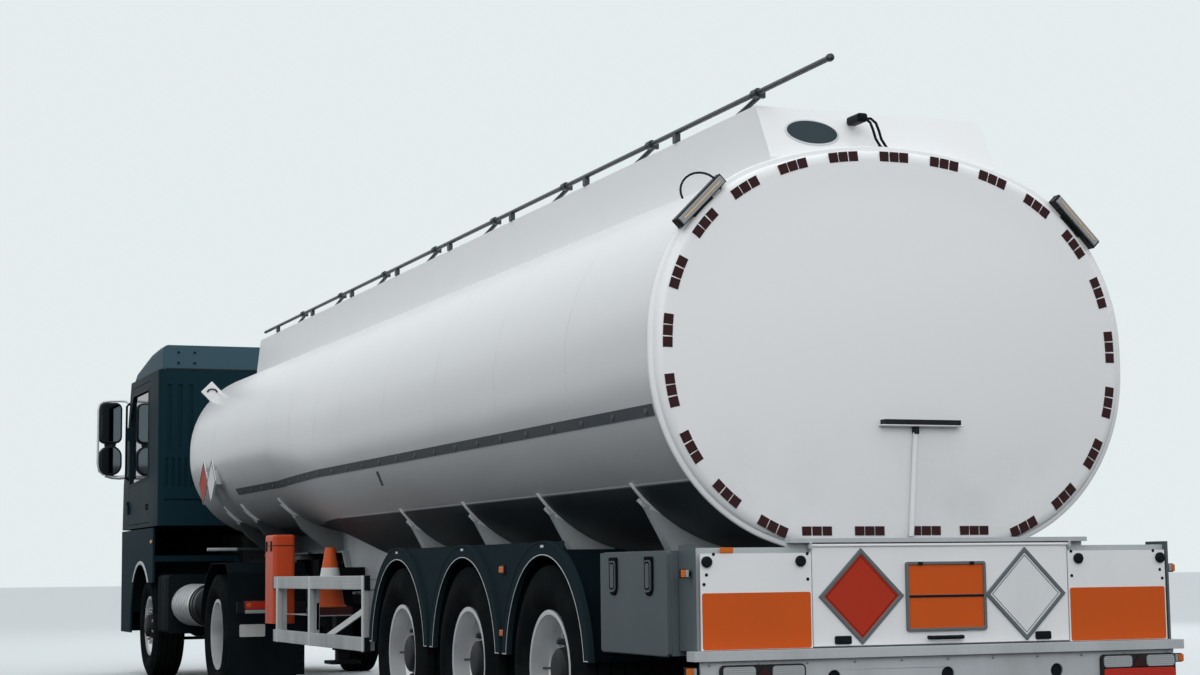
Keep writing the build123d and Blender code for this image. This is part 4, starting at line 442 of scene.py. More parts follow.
# Side band: a flat grey strip of rubber along both flanks, held by a row of flat-headed rivets, from
# the rear bead to the neck, with a short upright bar of the same rubber below it.
BAND_X0, BAND_X1, BAND_Z, BAND_H, BAND_STEPS = -7.098, 2.485, 1.720, 0.052, 96
LET_IN, PROUD = -0.002, 0.004
band_grey = Finish("grey_side_band", (0.070, 0.082, 0.092), 0.55).worn((0.16, 0.17, 0.17), 0.6)


def flank_bar(x, low, high, side):
    """Four corners of a flat strip on the flank, between two heights."""
    return [flank(x, z, proud, side) for z, proud in
            ((low, LET_IN), (low, PROUD), (high, PROUD), (high, LET_IN))]


band = Stock()
rivet_places = []
for side in (1, -1):
    band.loft([flank_bar(BAND_X0 + (BAND_X1 - BAND_X0) * i / BAND_STEPS, BAND_Z - BAND_H / 2,
                          BAND_Z + BAND_H / 2, side) for i in range(BAND_STEPS + 1)])
    rivet_places += [(flank(BAND_X0 + 0.10 + 0.405 * i, BAND_Z, PROUD, side), (0, 0, side * math.pi / 2), 1.0)
                     for i in range(24)]
band.piece("side_band", band_grey, "trailer", "barrel_paint", sharp=60)


def repeated(name, item, places, finish, body, jitter=0.0):
    """Copies of a small shape on a cloud of points, each with a turn and a size, by Geometry Nodes."""
    shape = bpy.data.objects.new(name + "_item", item.mesh(name + "_item"))
    scene.collection.objects.link(shape)
    cloud = bpy.data.meshes.new(name)
    cloud.from_pydata([tuple(p[0]) for p in places], [], [])
    for label, kind in (("turn", "FLOAT_VECTOR"), ("size", "FLOAT")):
        cloud.attributes.new(label, kind, "POINT")
    cloud.attributes["turn"].data.foreach_set("vector", [v for p in places for v in p[1]])
    cloud.attributes["size"].data.foreach_set("value", [p[2] for p in places])
    holder = bpy.data.objects.new(name, cloud)
    scene.collection.objects.link(holder)
    tree = bpy.data.node_groups.new(name, "GeometryNodeTree")
    for label, way, kind in (("Places", "INPUT", "Geometry"), ("Item", "INPUT", "Object"),
                             ("Finish", "INPUT", "Material"), ("Jitter", "INPUT", "Float"),
                             ("Seed", "INPUT", "Int"), ("Result", "OUTPUT", "Geometry")):
        tree.interface.new_socket(label, in_out=way, socket_type="NodeSocket" + kind)
    given, result, source, copies, turn, size, to_turn, spread, widen, spin, real, dress_up = (
        tree.nodes.new(kind) for kind in (
            "NodeGroupInput", "NodeGroupOutput", "GeometryNodeObjectInfo", "GeometryNodeInstanceOnPoints",
            "GeometryNodeInputNamedAttribute", "GeometryNodeInputNamedAttribute",
            "FunctionNodeEulerToRotation", "FunctionNodeRandomValue", "ShaderNodeVectorMath",
            "GeometryNodeRotateInstances", "GeometryNodeRealizeInstances", "GeometryNodeSetMaterial"))
    turn.data_type, size.data_type, spread.data_type = "FLOAT_VECTOR", "FLOAT", "FLOAT_VECTOR"
    turn.inputs["Name"].default_value, size.inputs["Name"].default_value = "turn", "size"
    widen.operation, spread.inputs["Min"].default_value = "SCALE", (-1, -1, -1)
    for giver, out, taker, into in (
            (given, "Item", source, "Object"), (given, "Places", copies, "Points"),
            (source, "Geometry", copies, "Instance"), (turn, "Attribute", to_turn, 0),
            (to_turn, 0, copies, "Rotation"), (size, "Attribute", copies, "Scale"),
            (given, "Seed", spread, "Seed"), (spread, 0, widen, 0), (given, "Jitter", widen, "Scale"),
            (copies, 0, spin, "Instances"), (widen, 0, spin, "Rotation"), (spin, 0, real, 0),
            (real, 0, dress_up, "Geometry"), (given, "Finish", dress_up, "Material"),
            (dress_up, 0, result, 0)):
        tree.links.new(giver.outputs[out], taker.inputs[into])
    maker = holder.modifiers.new("copies", "NODES")
    maker.node_group = tree
    for label, value in (("Item", shape), ("Finish", finish.material), ("Jitter", jitter), ("Seed", 7)):
        maker[tree.interface.items_tree[label].identifier] = value
    bpy.context.view_layer.update()
    made = bpy.data.meshes.new_from_object(holder.evaluated_get(bpy.context.evaluated_depsgraph_get()))
    holder.modifiers.clear()
    holder.data = made
    bpy.data.objects.remove(shape)
    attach(holder, body)


rivet_alloy = Finish("rivet_alloy", (0.30, 0.32, 0.33), 0.4, 0.6).grained(300.0, 2.0, 0.0002, 0.4)
bar = Stock()
for side in (1, -1):
    bar.loft([flank_bar(x, 1.573, 1.663, side) for x in (-2.450, -2.402)])
bar.piece("flank_slots", band_grey, "trailer", "barrel_paint")
rivet = Stock().turned([(0.0, 0.018), (0.0015, 0.0175), (0.0028, 0.013), (0.0032, 0.005)], (0, 0, 0), 0, 18)
repeated("side_band_rivets", rivet, rivet_places, band_grey, "trailer")

# Contour marks: dark red reflective tape round the rear head, in groups of three tiles cut square
# and stuck down a finger's width apart, in line with the rim.
tape_red = Finish("contour_tape", (0.040, 0.010, 0.012), 0.4, shine=0.15)
tape_red.feed(Base_Color=tape_red.mix((tape_red.noise(9.0, 4.0) * 0.8).clamped(), (0.030, 0.009, 0.011),
                                      (0.055, 0.016, 0.018)))
tape_red.grained(500.0, 1.0, 0.0003, 0.5)
MARK_A, MARK_B, MARK_N, MARK_Z, MARK_GROUPS = 1.158, 0.923, 2.245, 1.992, 25
TILE, TILE_GAP, CONTOUR_STEPS, BOARD_TOP, TAPE_X = 0.0465, 0.0055, 4000, 1.165, TANK_REAR - 0.0415


def contour_point(s):
    """A point on the line of marks, s being its share of the way round."""
    c, n = math.cos(2 * math.pi * s), math.sin(2 * math.pi * s)
    p = 2 / MARK_N
    return Vector((0, MARK_A * abs(c)**p * (1 if c > 0 else -1), MARK_B * abs(n)**p * (1 if n > 0 else -1)))


fine = [contour_point(i / CONTOUR_STEPS) for i in range(CONTOUR_STEPS + 1)]
lengths = [0.0]
for a, b in zip(fine, fine[1:]):
    lengths.append(lengths[-1] + (b - a).length)


def contour_at(length):
    length %= lengths[-1]
    i = next(k for k in range(CONTOUR_STEPS) if lengths[k + 1] >= length)
    return fine[i], (fine[i + 1] - fine[i]).normalized()


marks = Stock()
for group in range(MARK_GROUPS):
    for tile in (-1, 0, 1):
        at, along = contour_at(lengths[-1] * (group + 0.28) / MARK_GROUPS + tile * (TILE + TILE_GAP))
        if at.z + MARK_Z < BOARD_TOP:
            continue
        out = Vector((0, along.z, -along.y))
        corners = [at + (along * u + out * v) * TILE / 2 for u, v in ((-1, -1), (1, -1), (1, 1), (-1, 1))]
        marks.plate([(c.y, c.z + MARK_Z) for c in corners], 0, TAPE_X, TANK_REAR - 0.0380)
for middle in (0.439, 0.170, -0.124, -0.378):
    for tile in (-1, 0, 1):
        y = middle + tile * (TILE + TILE_GAP)
        marks.plate([(y + u * TILE / 2, z) for u, z in ((-1, 1.1545), (1, 1.1545), (1, 1.196), (-1, 1.196))],
                    0, TAPE_X, TANK_REAR - 0.0360)
marks.piece("contour_marks", tape_red, "trailer", "lamp", sharp=30)

# Coaming and manlids: a raised gutter of folded aluminium sheet, painted white, with walkways beside
# the lids, each held by six clamps; its raked rear plate carries a plain dark oval badge with a bright
# border.
coaming_white = Finish("coaming_paint", (0.87, 0.88, 0.885), 0.35, shine=0.3)
coaming_white.worn((0.66, 0.66, 0.65), 0.2, 1.5, 60.0)
lid_alloy = Finish("lid_aluminium", (0.62, 0.64, 0.65), 0.4, 1.0)
lid_alloy.worn((0.30, 0.30, 0.29), 0.5, 3.0, 90.0, 0.0005, 4.0)


def dress(finish, *nodes):
    """Give CAD nodes that keep their shape a finish."""
    for node in nodes:
        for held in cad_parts[node].material_slots:
            held.material = finish.material


dress(coaming_white, "coaming")
dress(lid_alloy, "manlids")
PLATE_TOP, PLATE_FOOT = Vector((-6.945, 0, 3.165)), Vector((-7.095, 0, 2.897))
down = (PLATE_FOOT - PLATE_TOP).normalized()
outward = Vector((down.z, 0, -down.x))
badge_dark = Finish("badge_enamel", (0.018, 0.036, 0.046), 0.4).grained(200.0, 3.0, 0.0002, 0.3)
badge_alloy = Finish("badge_rim", (0.70, 0.72, 0.73), 0.3, 1.0).grained(150.0, 3.0, 0.0002, 0.3)
BADGE_Y, BADGE_Z = 0.345, 3.037
badge_at = PLATE_TOP + down * (3.165 - BADGE_Z) / -down.z + Vector((0, BADGE_Y, 0))
for name, half_w, half_h, proud, finish in (("badge_border", 0.140, 0.078, 0.005, badge_alloy),
                                            ("badge_face", 0.130, 0.068, 0.007, badge_dark)):
    oval = [badge_at + Vector((0, half_w * math.cos(a), 0)) - down * half_h * math.sin(a)
            for a in (2 * math.pi * i / 64 for i in range(64))]
    Stock().loft([oval, [p + outward * proud for p in oval]]).piece(
        name, finish, "trailer", "bare_aluminium", sharp=40)
MIDDLE_LID_X, LID_PITCH, CLAMP_R, CLAMP_Z = -1.630, 2.05, 0.262, 3.035
clamp_turns = [2 * math.pi * (k + 0.5) / 6 for k in range(6)]
lid_clamps = [((MIDDLE_LID_X + LID_PITCH * i + CLAMP_R * math.cos(turn), CLAMP_R * math.sin(turn), CLAMP_Z),
               (0, 0, turn), 1.0) for i in range(-2, 3) for turn in clamp_turns]
clamp = Stock().block((-0.034, -0.014, -0.030), (0.014, 0.014, 0.012))
clamp.turned([(0.0, 0.011), (0.022, 0.011), (0.026, 0.007)], (-0.008, 0, 0.0), 2, 10)
repeated("lid_clamps", clamp, lid_clamps, lid_alloy, "trailer", 0.03)

# Folding handrail: a drawn tube with dark anodising that lies along the left edge on folded posts,
# with a plug in its rear end and a clamp at each post.
rail_dark = Finish("anodised_rail", (0.060, 0.072, 0.080), 0.4, 0.5)
rail_dark.bump(rail_dark.noise(80.0, 3.0, 0.5, (0.05, 1, 1)), 0.0004, 0.4)
RAIL_Y, RAIL_Z, POST_X0, POST_PITCH = 0.595, 3.222, -6.945, 1.285
rail = Stock().turned([(0.0, 0.007), (0.006, 0.016), (0.019, 0.0185), (0.032, 0.016), (0.038, 0.013),
                       (11.222, 0.013), (11.226, 0.010)], (-7.712, RAIL_Y, RAIL_Z), 0, 24)
collars = []
for i in range(8):
    x = POST_X0 + POST_PITCH * i
    rail.tube([(x + 0.010, RAIL_Y - 0.024, RAIL_Z - 0.008), (x + 0.92, RAIL_Y - 0.020, RAIL_Z - 0.182)],
              0.0125)
    rail.turned([(-0.026, 0.030), (-0.024, 0.034), (0.022, 0.034), (0.024, 0.030)],
                (x + 0.930, RAIL_Y - 0.022, RAIL_Z - 0.190), 1, 28)
    rail.block((x + 0.922, RAIL_Y - 0.014, RAIL_Z - 0.056), (x + 0.962, RAIL_Y + 0.014, RAIL_Z - 0.010))
    collars.append(((x, RAIL_Y, RAIL_Z), (0, 0, 0), 1.0))
rail.piece("handrail_tube", rail_dark, "trailer", "bare_aluminium", sharp=40, replaces=("handrail",))
collar = Stock().turned([(-0.026, 0.0135), (-0.026, 0.022), (0.026, 0.022), (0.026, 0.0135)],
                        (0, 0, 0), 0, 24, True)
collar.block((-0.012, -0.044, -0.020), (0.012, -0.016, 0.010))
repeated("rail_collars", collar, collars, rail_dark, "trailer")

# Rear camera: a small sealed head on the coaming's rear plate; its two moulded leads go down into a
# gland in the tank's crown.
camera_black = Finish("camera_housing", (0.009, 0.012, 0.014), 0.4, shine=0.06)
camera_black.grained(350.0, 2.0, 0.0003, 0.4)
lead = Stock()
for y in (0.0, 0.030):
    lead.tube([(-7.085, 0.098 + y, 3.108), (-7.108, 0.080 + y, 3.104), (-7.124, 0.062 + y, 3.080),
               (-7.128, 0.050 + y, 3.045), (-7.128, 0.038 + y, 3.005), (-7.126, 0.014 + y, 2.972),
               (-7.122, -0.004 + y, 2.958)], 0.0065)
lead.block((-7.124, 0.028, 2.955), (-7.100, 0.052, 2.972))
lead.piece("camera_lead", camera_black, "trailer", "dark_plastic")

# Trailer frame, axles and legs: welded steel in pale grey paint, painted near black with painted shade under
# the tank in front of the neck; axles and legs are black. Bright curved strips on the saddles carry the
# barrel.


def copy_of(node, keep=None):
    """A node's own shape as raw stock, or only the faces whose middle passes keep."""
    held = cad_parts[node]
    verts = [held.matrix_world @ v.co for v in held.data.vertices]
    faces = [tuple(p.vertices) for p in held.data.polygons
             if keep is None or keep(held.matrix_world @ p.center)]
    used = sorted({i for face in faces for i in face})
    place = {old: new for new, old in enumerate(used)}
    return Stock().add([verts[i] for i in used], [tuple(place[i] for i in face) for face in faces])


def redrawn(node, name, *rest):
    """A node's own shape, bevelled and dressed, in the node's place."""
    return copy_of(node).piece(name, *rest, replaces=(node,))


FRAME_PALE = (0.50, 0.54, 0.55)
frame_pale = Finish("pale_frame_paint", FRAME_PALE, 0.45)
_, px, py, _ = frame_pale.place()
# Painted shade: under the tank in front of the neck the frame is painted near black.
frame_painted_shade = ((px - 1.0) * 2.5).clamped() * (abs(py) < 0.85) * 0.93
frame_film = frame_pale.patches(2.0, 6.0, 0.38, 2.4, 0.6, DRIFT) * 0.3
dusty = frame_pale.mix(frame_film, FRAME_PALE, (0.14, 0.145, 0.14))
frame_pale.feed(Base_Color=frame_pale.mix(frame_painted_shade, dusty, (0.020, 0.028, 0.033)))
frame_pale.grained(160.0, 3.0, 0.0006, 0.6)
chassis_black = Finish("chassis_paint", (0.010, 0.013, 0.015), 0.55, shine=0.05)
chassis_black.worn((0.050, 0.050, 0.047), 0.6, 2.6)
saddle_alloy = Finish("saddle_strip_alloy", (0.92, 0.93, 0.94), 0.3, 0.2).grained(90.0, 3.0, 0.0003, 0.4)


def against_tank(c):
    """True for the curved strips, whose faces lie within 16 mm of the barrel."""
    return 1.1 < c.z < 2.0 and min(math.hypot(c.y - y, c.z - z) for y, z, _, _ in section(c.x)) < 0.016


copy_of("trailer_frame", lambda c: not against_tank(c)).piece(
    "trailer_frame_plates", frame_pale, "trailer", "frame_paint", 0.0025, replaces=("trailer_frame",))
copy_of("trailer_frame", against_tank).piece("saddle_strips", saddle_alloy, "trailer", "bare_aluminium")
redrawn("trailer_axles", "trailer_axle_steel", chassis_black, "trailer", "frame_paint", 0.003)
redrawn("landing_legs", "landing_leg_steel", chassis_black, "trailer", "galvanised", 0.003)

# Tyres: moulded rubber turned to the real section, with a bead rib, a step in the wall and straight
# grooves; the fine cuts across the tread are in the surface.
BOGIE, DRIVE_X, STEER_X = (-3.130, -4.440, -5.750), 2.525, 6.325
TRAILER_R, TRACTOR_R, LIP_R, SEAT_R, TREAD_CUTS = 0.520, 0.508, 0.3015, 0.2863, 84
TRAILER_Y, STEER_Y, TWIN_OUT_Y, TWIN_IN_Y = 1.055, 1.020, 1.088, 0.744
SIDES = ((1, "left"), (-1, "right"))
RUBBER = (0.006, 0.008, 0.009)
rubber = Finish("tyre_rubber", RUBBER, 0.85, shine=0.02)
wrap = rubber.node("ShaderNodeSeparateXYZ", {}, rubber.node("ShaderNodeUVMap", {"uv_map": "wrap"}))
turn_share, reach = (Term(rubber, s) for s in list(wrap.socket.node.outputs)[:2])
tread_top = reach > 0.992
tread_cuts = ((turn_share * (2 * math.pi * TREAD_CUTS) + rubber.place()[2] * 46).wave() > 0.9) * tread_top
wall_ribs = ((reach * 260).wave() > 0.86) * (reach > 0.66) * (reach < 0.72)
mud = rubber.patches(7.0, 5.0, 0.42, 2.5) * 0.6 + tread_top * 0.2
rubber.feed(Base_Color=rubber.mix(mud.clamped(), RUBBER, (0.020, 0.022, 0.022)))
rubber.bump(rubber.noise(240.0, 3.0) * 0.15 + wall_ribs * 0.5 - tread_cuts, 0.003, 0.9)


def tyre_profile(outer_r, width, rim_w, grooves):
    """Closed section of a tyre: (across, radius), from the outer bead round the tread and back."""
    half, shoulder, tread = rim_w / 2, outer_r - 0.030, width / 2 - 0.036
    mid_r, span = (LIP_R + shoulder) / 2, (shoulder - LIP_R) / 2
    wall = []
    for k in range(1, 12):
        t = -1 + 2 * k / 12
        base = half + (tread + 0.014 - half) * (t + 1) / 2
        swell = (width / 2 - (half + tread + 0.014) / 2) * (1 - t * t)
        rib = 0.003 if k == 2 else (-0.0015 if k in (8, 9) else 0)
        wall.append((base + swell + rib - 0.0012, mid_r + span * t))
    crown = outer_r - 0.0005
    outer = [(half, SEAT_R), (half, LIP_R)] + wall
    outer += [(tread + 0.014, shoulder), (tread + 0.004, outer_r - 0.004), (tread - 0.006, crown)]
    cuts = [(middle + across, r) for middle in grooves for across, r in
            ((0.007, crown), (0.005, outer_r - 0.013), (-0.005, outer_r - 0.013), (-0.007, crown))]
    return outer + cuts + [(-a, r) for a, r in reversed(outer)]


def tyre(name, body, x, radius, profile, middles, node):
    """Turn a profile about an axle, once for each middle, and wrap it: share of a turn, share of radius."""
    stock = Stock()
    for y in middles:
        stock.turned(profile, (x, y, radius), 1, 96, closed=True)
    made = stock.piece(name, rubber, body, "tyre", sharp=28, replaces=(node,))
    layer = made.data.uv_layers.new(name="wrap")
    points = [v.co for v in made.data.vertices]
    for face in made.data.polygons:
        shares = []
        for i in face.loop_indices:
            p = points[made.data.loops[i].vertex_index]
            dx, dz = p.x - x, p.z - radius
            shares.append(math.atan2(dz, dx) / (2 * math.pi))
            layer.data[i].uv = (shares[-1], math.hypot(dx, dz) / radius)
        if max(shares) - min(shares) > 0.5:
            for i, share in zip(face.loop_indices, shares):
                layer.data[i].uv.x = share + (1 if share < 0 else 0)


trailer_section = tyre_profile(TRAILER_R, 0.385, 0.298, (0.105, 0.036, -0.036, -0.105))
tractor_section = tyre_profile(TRACTOR_R, 0.315, 0.229, (0.078, 0.026, -0.026, -0.078))
for side, hand in SIDES:
    for number, x in enumerate(BOGIE, 1):
        tyre(f"tyre_rubber_{number}_{hand}", f"trailer_wheel_{number}_{hand}", x, TRAILER_R,
             trailer_section, [side * TRAILER_Y], f"trailer_tyre_{number}_{hand}")
    tyre(f"front_rubber_{hand}", f"front_wheel_{hand}", STEER_X, TRACTOR_R, tractor_section,
         [side * STEER_Y], f"front_tyre_{hand}")
    tyre(f"drive_rubber_{hand}", f"drive_wheels_{hand}", DRIVE_X, TRACTOR_R, tractor_section,
         [side * TWIN_OUT_Y, side * TWIN_IN_Y], f"drive_tyres_{hand}")

# Rims and hubs: pressed steel discs in silver paint with ten hand holes, on cast hubs with a black
# cap, held by ten nuts on studs; the steered hubs keep larger bright nuts.
rim_silver = Finish("rim_silver", (0.80, 0.81, 0.82), 0.30, 0.6)
rim_silver.worn((0.20, 0.19, 0.175), 0.5, 5.0, 220.0, 0.0004, 0.3)
hub_black = Finish("hub_cap_paint", (0.010, 0.012, 0.013), 0.45, shine=0.2)
hub_black.worn((0.050, 0.050, 0.048), 0.5, 6.0)
nut_steel = Finish("nut_steel", (0.11, 0.115, 0.12), 0.4, 0.8).grained(260.0, 3.0, 0.0004, 0.5)
nut_bright = Finish("plated_nuts", (0.62, 0.63, 0.63), 0.28, 1.0).grained(260.0, 3.0, 0.0004, 0.5)
NUT_R, NUT_RING_R = 0.0185, 0.1675
nut = Stock().turned([(0.0, 0.024), (0.004, 0.024), (0.005, 0.021)], (0, 0, 0), 0, 24)
nut.plate([(NUT_R * math.cos(math.pi / 3 * i), NUT_R * math.sin(math.pi / 3 * i)) for i in range(6)],
          0, 0.005, 0.024)
nut.turned([(0.024, 0.0135), (0.027, 0.0125), (0.046, 0.0125), (0.048, 0.0105)], (0, 0, 0), 0, 16)
# label, body, node, axle x, axle z, tyre middle y, disc face, hub end, nut finish, nut size
wheel_sets = [(f"bogie_{n}", f"trailer_wheel_{n}_", f"trailer_rim_{n}_", x, TRAILER_R, TRAILER_Y, 0.035, 0.125,
               nut_steel, 1.0) for n, x in enumerate(BOGIE, 1)]
wheel_sets += [
    ("steer", "front_wheel_", "front_rim_", STEER_X, TRACTOR_R, STEER_Y, 0.075, 0.165, nut_bright, 1.15),
    ("drive", "drive_wheels_", "drive_rims_", DRIVE_X, TRACTOR_R, TWIN_OUT_Y, -0.075, 0.060, nut_steel, 1.1)]
for label, body, node, x, z, y, disc, hub, metal, size in wheel_sets:
    for side, hand in SIDES:
        redrawn(node + hand, f"{label}_rim_{hand}", rim_silver, body + hand, "galvanised", 0.0015)
        cap = [(disc + 0.0115, 0.1215), (disc + 0.020, 0.1195), (hub - 0.014, 0.1075), (hub - 0.004, 0.094),
               (hub + 0.001, 0.080), (hub + 0.0025, 0.074), (hub + 0.0035, 0.030)]
        Stock().turned([(side * a, r) for a, r in cap], (x, side * y, z), 1, 64).piece(
            f"{label}_hub_cap_{hand}", hub_black, body + hand, "cast_iron", sharp=40)
        face_y, turns = y + disc, [2 * math.pi * (k + 0.5) / 10 for k in range(10)]
        spots = [((x + NUT_RING_R * math.cos(a), side * (face_y + 0.0002), z + NUT_RING_R * math.sin(a)),
                  (0, 0, side * math.pi / 2), size) for a in turns]
        repeated(f"{label}_nuts_{hand}", nut, spots, metal, body + hand)
        valve = Stock().tube([(x + across, side * (face_y + out), z) for across, out in
                              ((0.258, 0.004), (0.262, 0.03), (0.266, 0.065))], 0.0055)
        valve.piece(f"{label}_valve_{hand}", nut_steel, body + hand, "bare_aluminium")

# Trailer mudguards: moulded slate-grey plastic hoods with a lighter rolled lip, a thin white line
# along its inner edge, a pale mark at each crown and amber marker lamps between the hoods.
slate = Finish("mudguard_plastic", (0.004, 0.009, 0.012), 0.6, shine=0.012)
on_lip = abs(slate.place()[2]) > 1.2195
hood = slate.mix(slate.patches(3.0, 5.0, 0.4, 1.5), (0.003, 0.008, 0.011), (0.010, 0.015, 0.017))
slate.feed(Base_Color=slate.mix(on_lip, hood, (0.014, 0.026, 0.032)))
slate.grained(420.0, 2.0, 0.0006, 0.5)
redrawn("trailer_mudguards", "mudguard_hoods", slate, "trailer", "dark_plastic", 0.003, 25)
marking_white = Finish("marking_white", (0.72, 0.73, 0.73), 0.4).worn((0.34, 0.34, 0.33), 0.35, 8.0)
ROLL_R, LINE_R, HOOD_FOOT = 0.634, 0.572, 0.062


def hood_arc(x, radius, foot_r):
    """Points along an arch over the wheel at x, which ends where an arc of foot_r meets the hood's foot."""
    start = math.asin(HOOD_FOOT / foot_r)
    turns = [start + (math.pi - 2 * start) * k / 56 for k in range(57)]
    return [(x + radius * math.cos(a), TRAILER_R + radius * math.sin(a)) for a in turns]


roll, line = Stock(), Stock()
for x in BOGIE:
    roll.tube([(ax, 1.2465, az) for ax, az in hood_arc(x, ROLL_R, ROLL_R)], 0.006, 10)
    edges = [[(ax, y, az) for ax, az in hood_arc(x, r, LINE_R)] for r, y in
             ((0.5695, 1.2495), (0.5735, 1.2495), (0.5735, 1.2508), (0.5695, 1.2508))]
    line.loft(list(zip(*edges)))
    for low, high in ((x + 0.570, x + 0.630), (x - 0.630, x - 0.570)):
        line.block((low, 1.2495, 0.583), (high, 1.2508, 0.587))
    line.block((x - 0.022, 1.2497, 1.127), (x + 0.022, 1.2512, 1.139))
roll.both().piece("mudguard_roll", slate, "trailer", "dark_plastic")
line.both().piece("mudguard_white_lines", marking_white, "trailer", "sign_face")


def ribbed(finish, first, second, pitch, depth, strength):
    """Fine moulded ribs both ways in a lens; first and second say which coordinates they cross."""
    return finish.bump((finish.place()[first] * pitch).wave() + (finish.place()[second] * pitch).wave(),
                       depth, strength)


amber_lens = ribbed(Finish("amber_lens", (0.60, 0.135, 0.010), 0.2, shine=0.3), 1, 3, 900, 0.0004, 0.5)
marker_base, marker_lens = Stock(), Stock()
for x, z in ((-5.095, 1.020), (-5.095, 0.690)):
    marker_base.block((x - 0.040, 1.230, z - 0.024), (x + 0.040, 1.238, z + 0.024))
    marker_lens.block((x - 0.032, 1.238, z - 0.017), (x + 0.032, 1.247, z + 0.017))
marker_base.both().piece("marker_lamp_bases", camera_black, "trailer", "dark_plastic", 0.002)
marker_lens.both().piece("marker_lamp_lenses", amber_lens, "trailer", "lamp", 0.004)

# Side guards: extruded aluminium rails with two pressed grooves and plastic end caps on folded
# uprights, with a bright slanting stay between the rails.
guard_alloy = Finish("guard_aluminium", (0.52, 0.545, 0.555), 0.42, 0.35)
ribs = (((guard_alloy.place()[3] - 0.005) * 280).wave() > 0.4) * (abs(guard_alloy.place()[2]) > 1.2)
guard_alloy.worn((0.20, 0.20, 0.19), 0.6, 3.0)
guard_alloy.bump(guard_alloy.noise(60.0, 3.0, 0.5, (0.04, 1, 1)) * 0.2 - ribs * 0.5, 0.002, 0.7)
redrawn("side_guards", "guard_rails", guard_alloy, "trailer", "bare_aluminium", 0.004)
caps, stay = Stock(), Stock()
for x, z in ((-2.381, 0.950), (-2.381, 0.555), (0.244, 0.950), (0.244, 0.555)):
    caps.block((x - 0.008, 1.214, z - 0.047), (x + 0.010, 1.2515, z + 0.047))
caps.both().piece("guard_end_caps", camera_black, "trailer", "dark_plastic", 0.003)
stay.plate([(-1.096, 0.592), (-2.320, 0.832), (-2.320, 0.790), (-1.190, 0.566)], 1, 1.170, 1.182)
for x in (-2.326, -0.894, 0.111):
    stay.block((x - 0.013, 1.2501, 0.508), (x + 0.013, 1.2525, 0.996))
stay.both().piece("guard_uprights", marking_white, "trailer", "bare_aluminium", 0.001)

# Carried gear: a moulded orange cone with a white reflective sleeve on a stack of dark red feet, and
# a red plastic box for the extinguisher, with a lid and two rubber catches.
cone_orange = Finish("cone_plastic", (0.64, 0.095, 0.018), 0.45).worn((0.30, 0.09, 0.04), 0.4, 12.0)
foot_red = Finish("cone_foot_rubber", (0.070, 0.014, 0.013), 0.7).worn((0.060, 0.040, 0.036), 0.6, 9.0)
CONE_X, CONE_Y = -0.650, 1.038
CONE_AT = (CONE_X, CONE_Y, 0.0)
Stock().turned([(0.772, 0.120), (0.786, 0.118), (0.792, 0.103), (0.93, 0.080), (1.02, 0.0655), (1.192, 0.036),
                (1.198, 0.033), (1.198, 0.027), (1.190, 0.026)], CONE_AT, 2, 48).piece(
    "cone_body", cone_orange, "trailer", "orange_plastic", sharp=50, replaces=("traffic_cone",))
Stock().turned([(0.955, 0.0775), (0.957, 0.0785), (1.052, 0.0620), (1.054, 0.0600)], CONE_AT, 2, 48).piece(
    "cone_sleeve", marking_white, "trailer", "sign_face")


def rounded(low, high, corner, steps=6):
    """Outline of a rectangle with round corners."""
    points = []
    for cx, cy, start in ((high[0] - corner, high[1] - corner, 0), (low[0] + corner, high[1] - corner, 1),
                          (low[0] + corner, low[1] + corner, 2), (high[0] - corner, low[1] + corner, 3)):
        for k in range(steps + 1):
            a = math.pi / 2 * (start + k / steps)
            points.append((cx + corner * math.cos(a), cy + corner * math.sin(a)))
    return points


feet = Stock()
for z0, z1, half in ((0.7185, 0.733, 0.145), (0.7335, 0.747, 0.142), (0.7475, 0.760, 0.144),
                     (0.7605, 0.774, 0.140)):
    feet.plate(rounded((CONE_X - half, CONE_Y - half), (CONE_X + half, CONE_Y + half), 0.03), 2, z0, z1)
feet.piece("cone_feet", foot_red, "trailer", "red_paint", 0.002)
box_red = Finish("extinguisher_box_red", (0.62, 0.070, 0.016), 0.42).worn((0.36, 0.08, 0.04), 0.35, 5.0)
redrawn("extinguisher_box", "extinguisher_box_shell", box_red, "trailer", "red_paint", 0.004)
seam, catch = Stock(), Stock()
seam.plate(rounded((0.2635, 1.0735), (0.5665, 1.2465), 0.032), 2, 1.225, 1.231,
           rounded((0.2665, 1.0765), (0.5635, 1.2435), 0.029))
for x in (0.335, 0.495):
    catch.block((x - 0.017, 1.245, 1.185), (x + 0.017, 1.2535, 1.262))
seam.piece("box_lid_seam", camera_black, "trailer", "dark_plastic")
catch.piece("box_catches", camera_black, "trailer", "dark_plastic", 0.004)

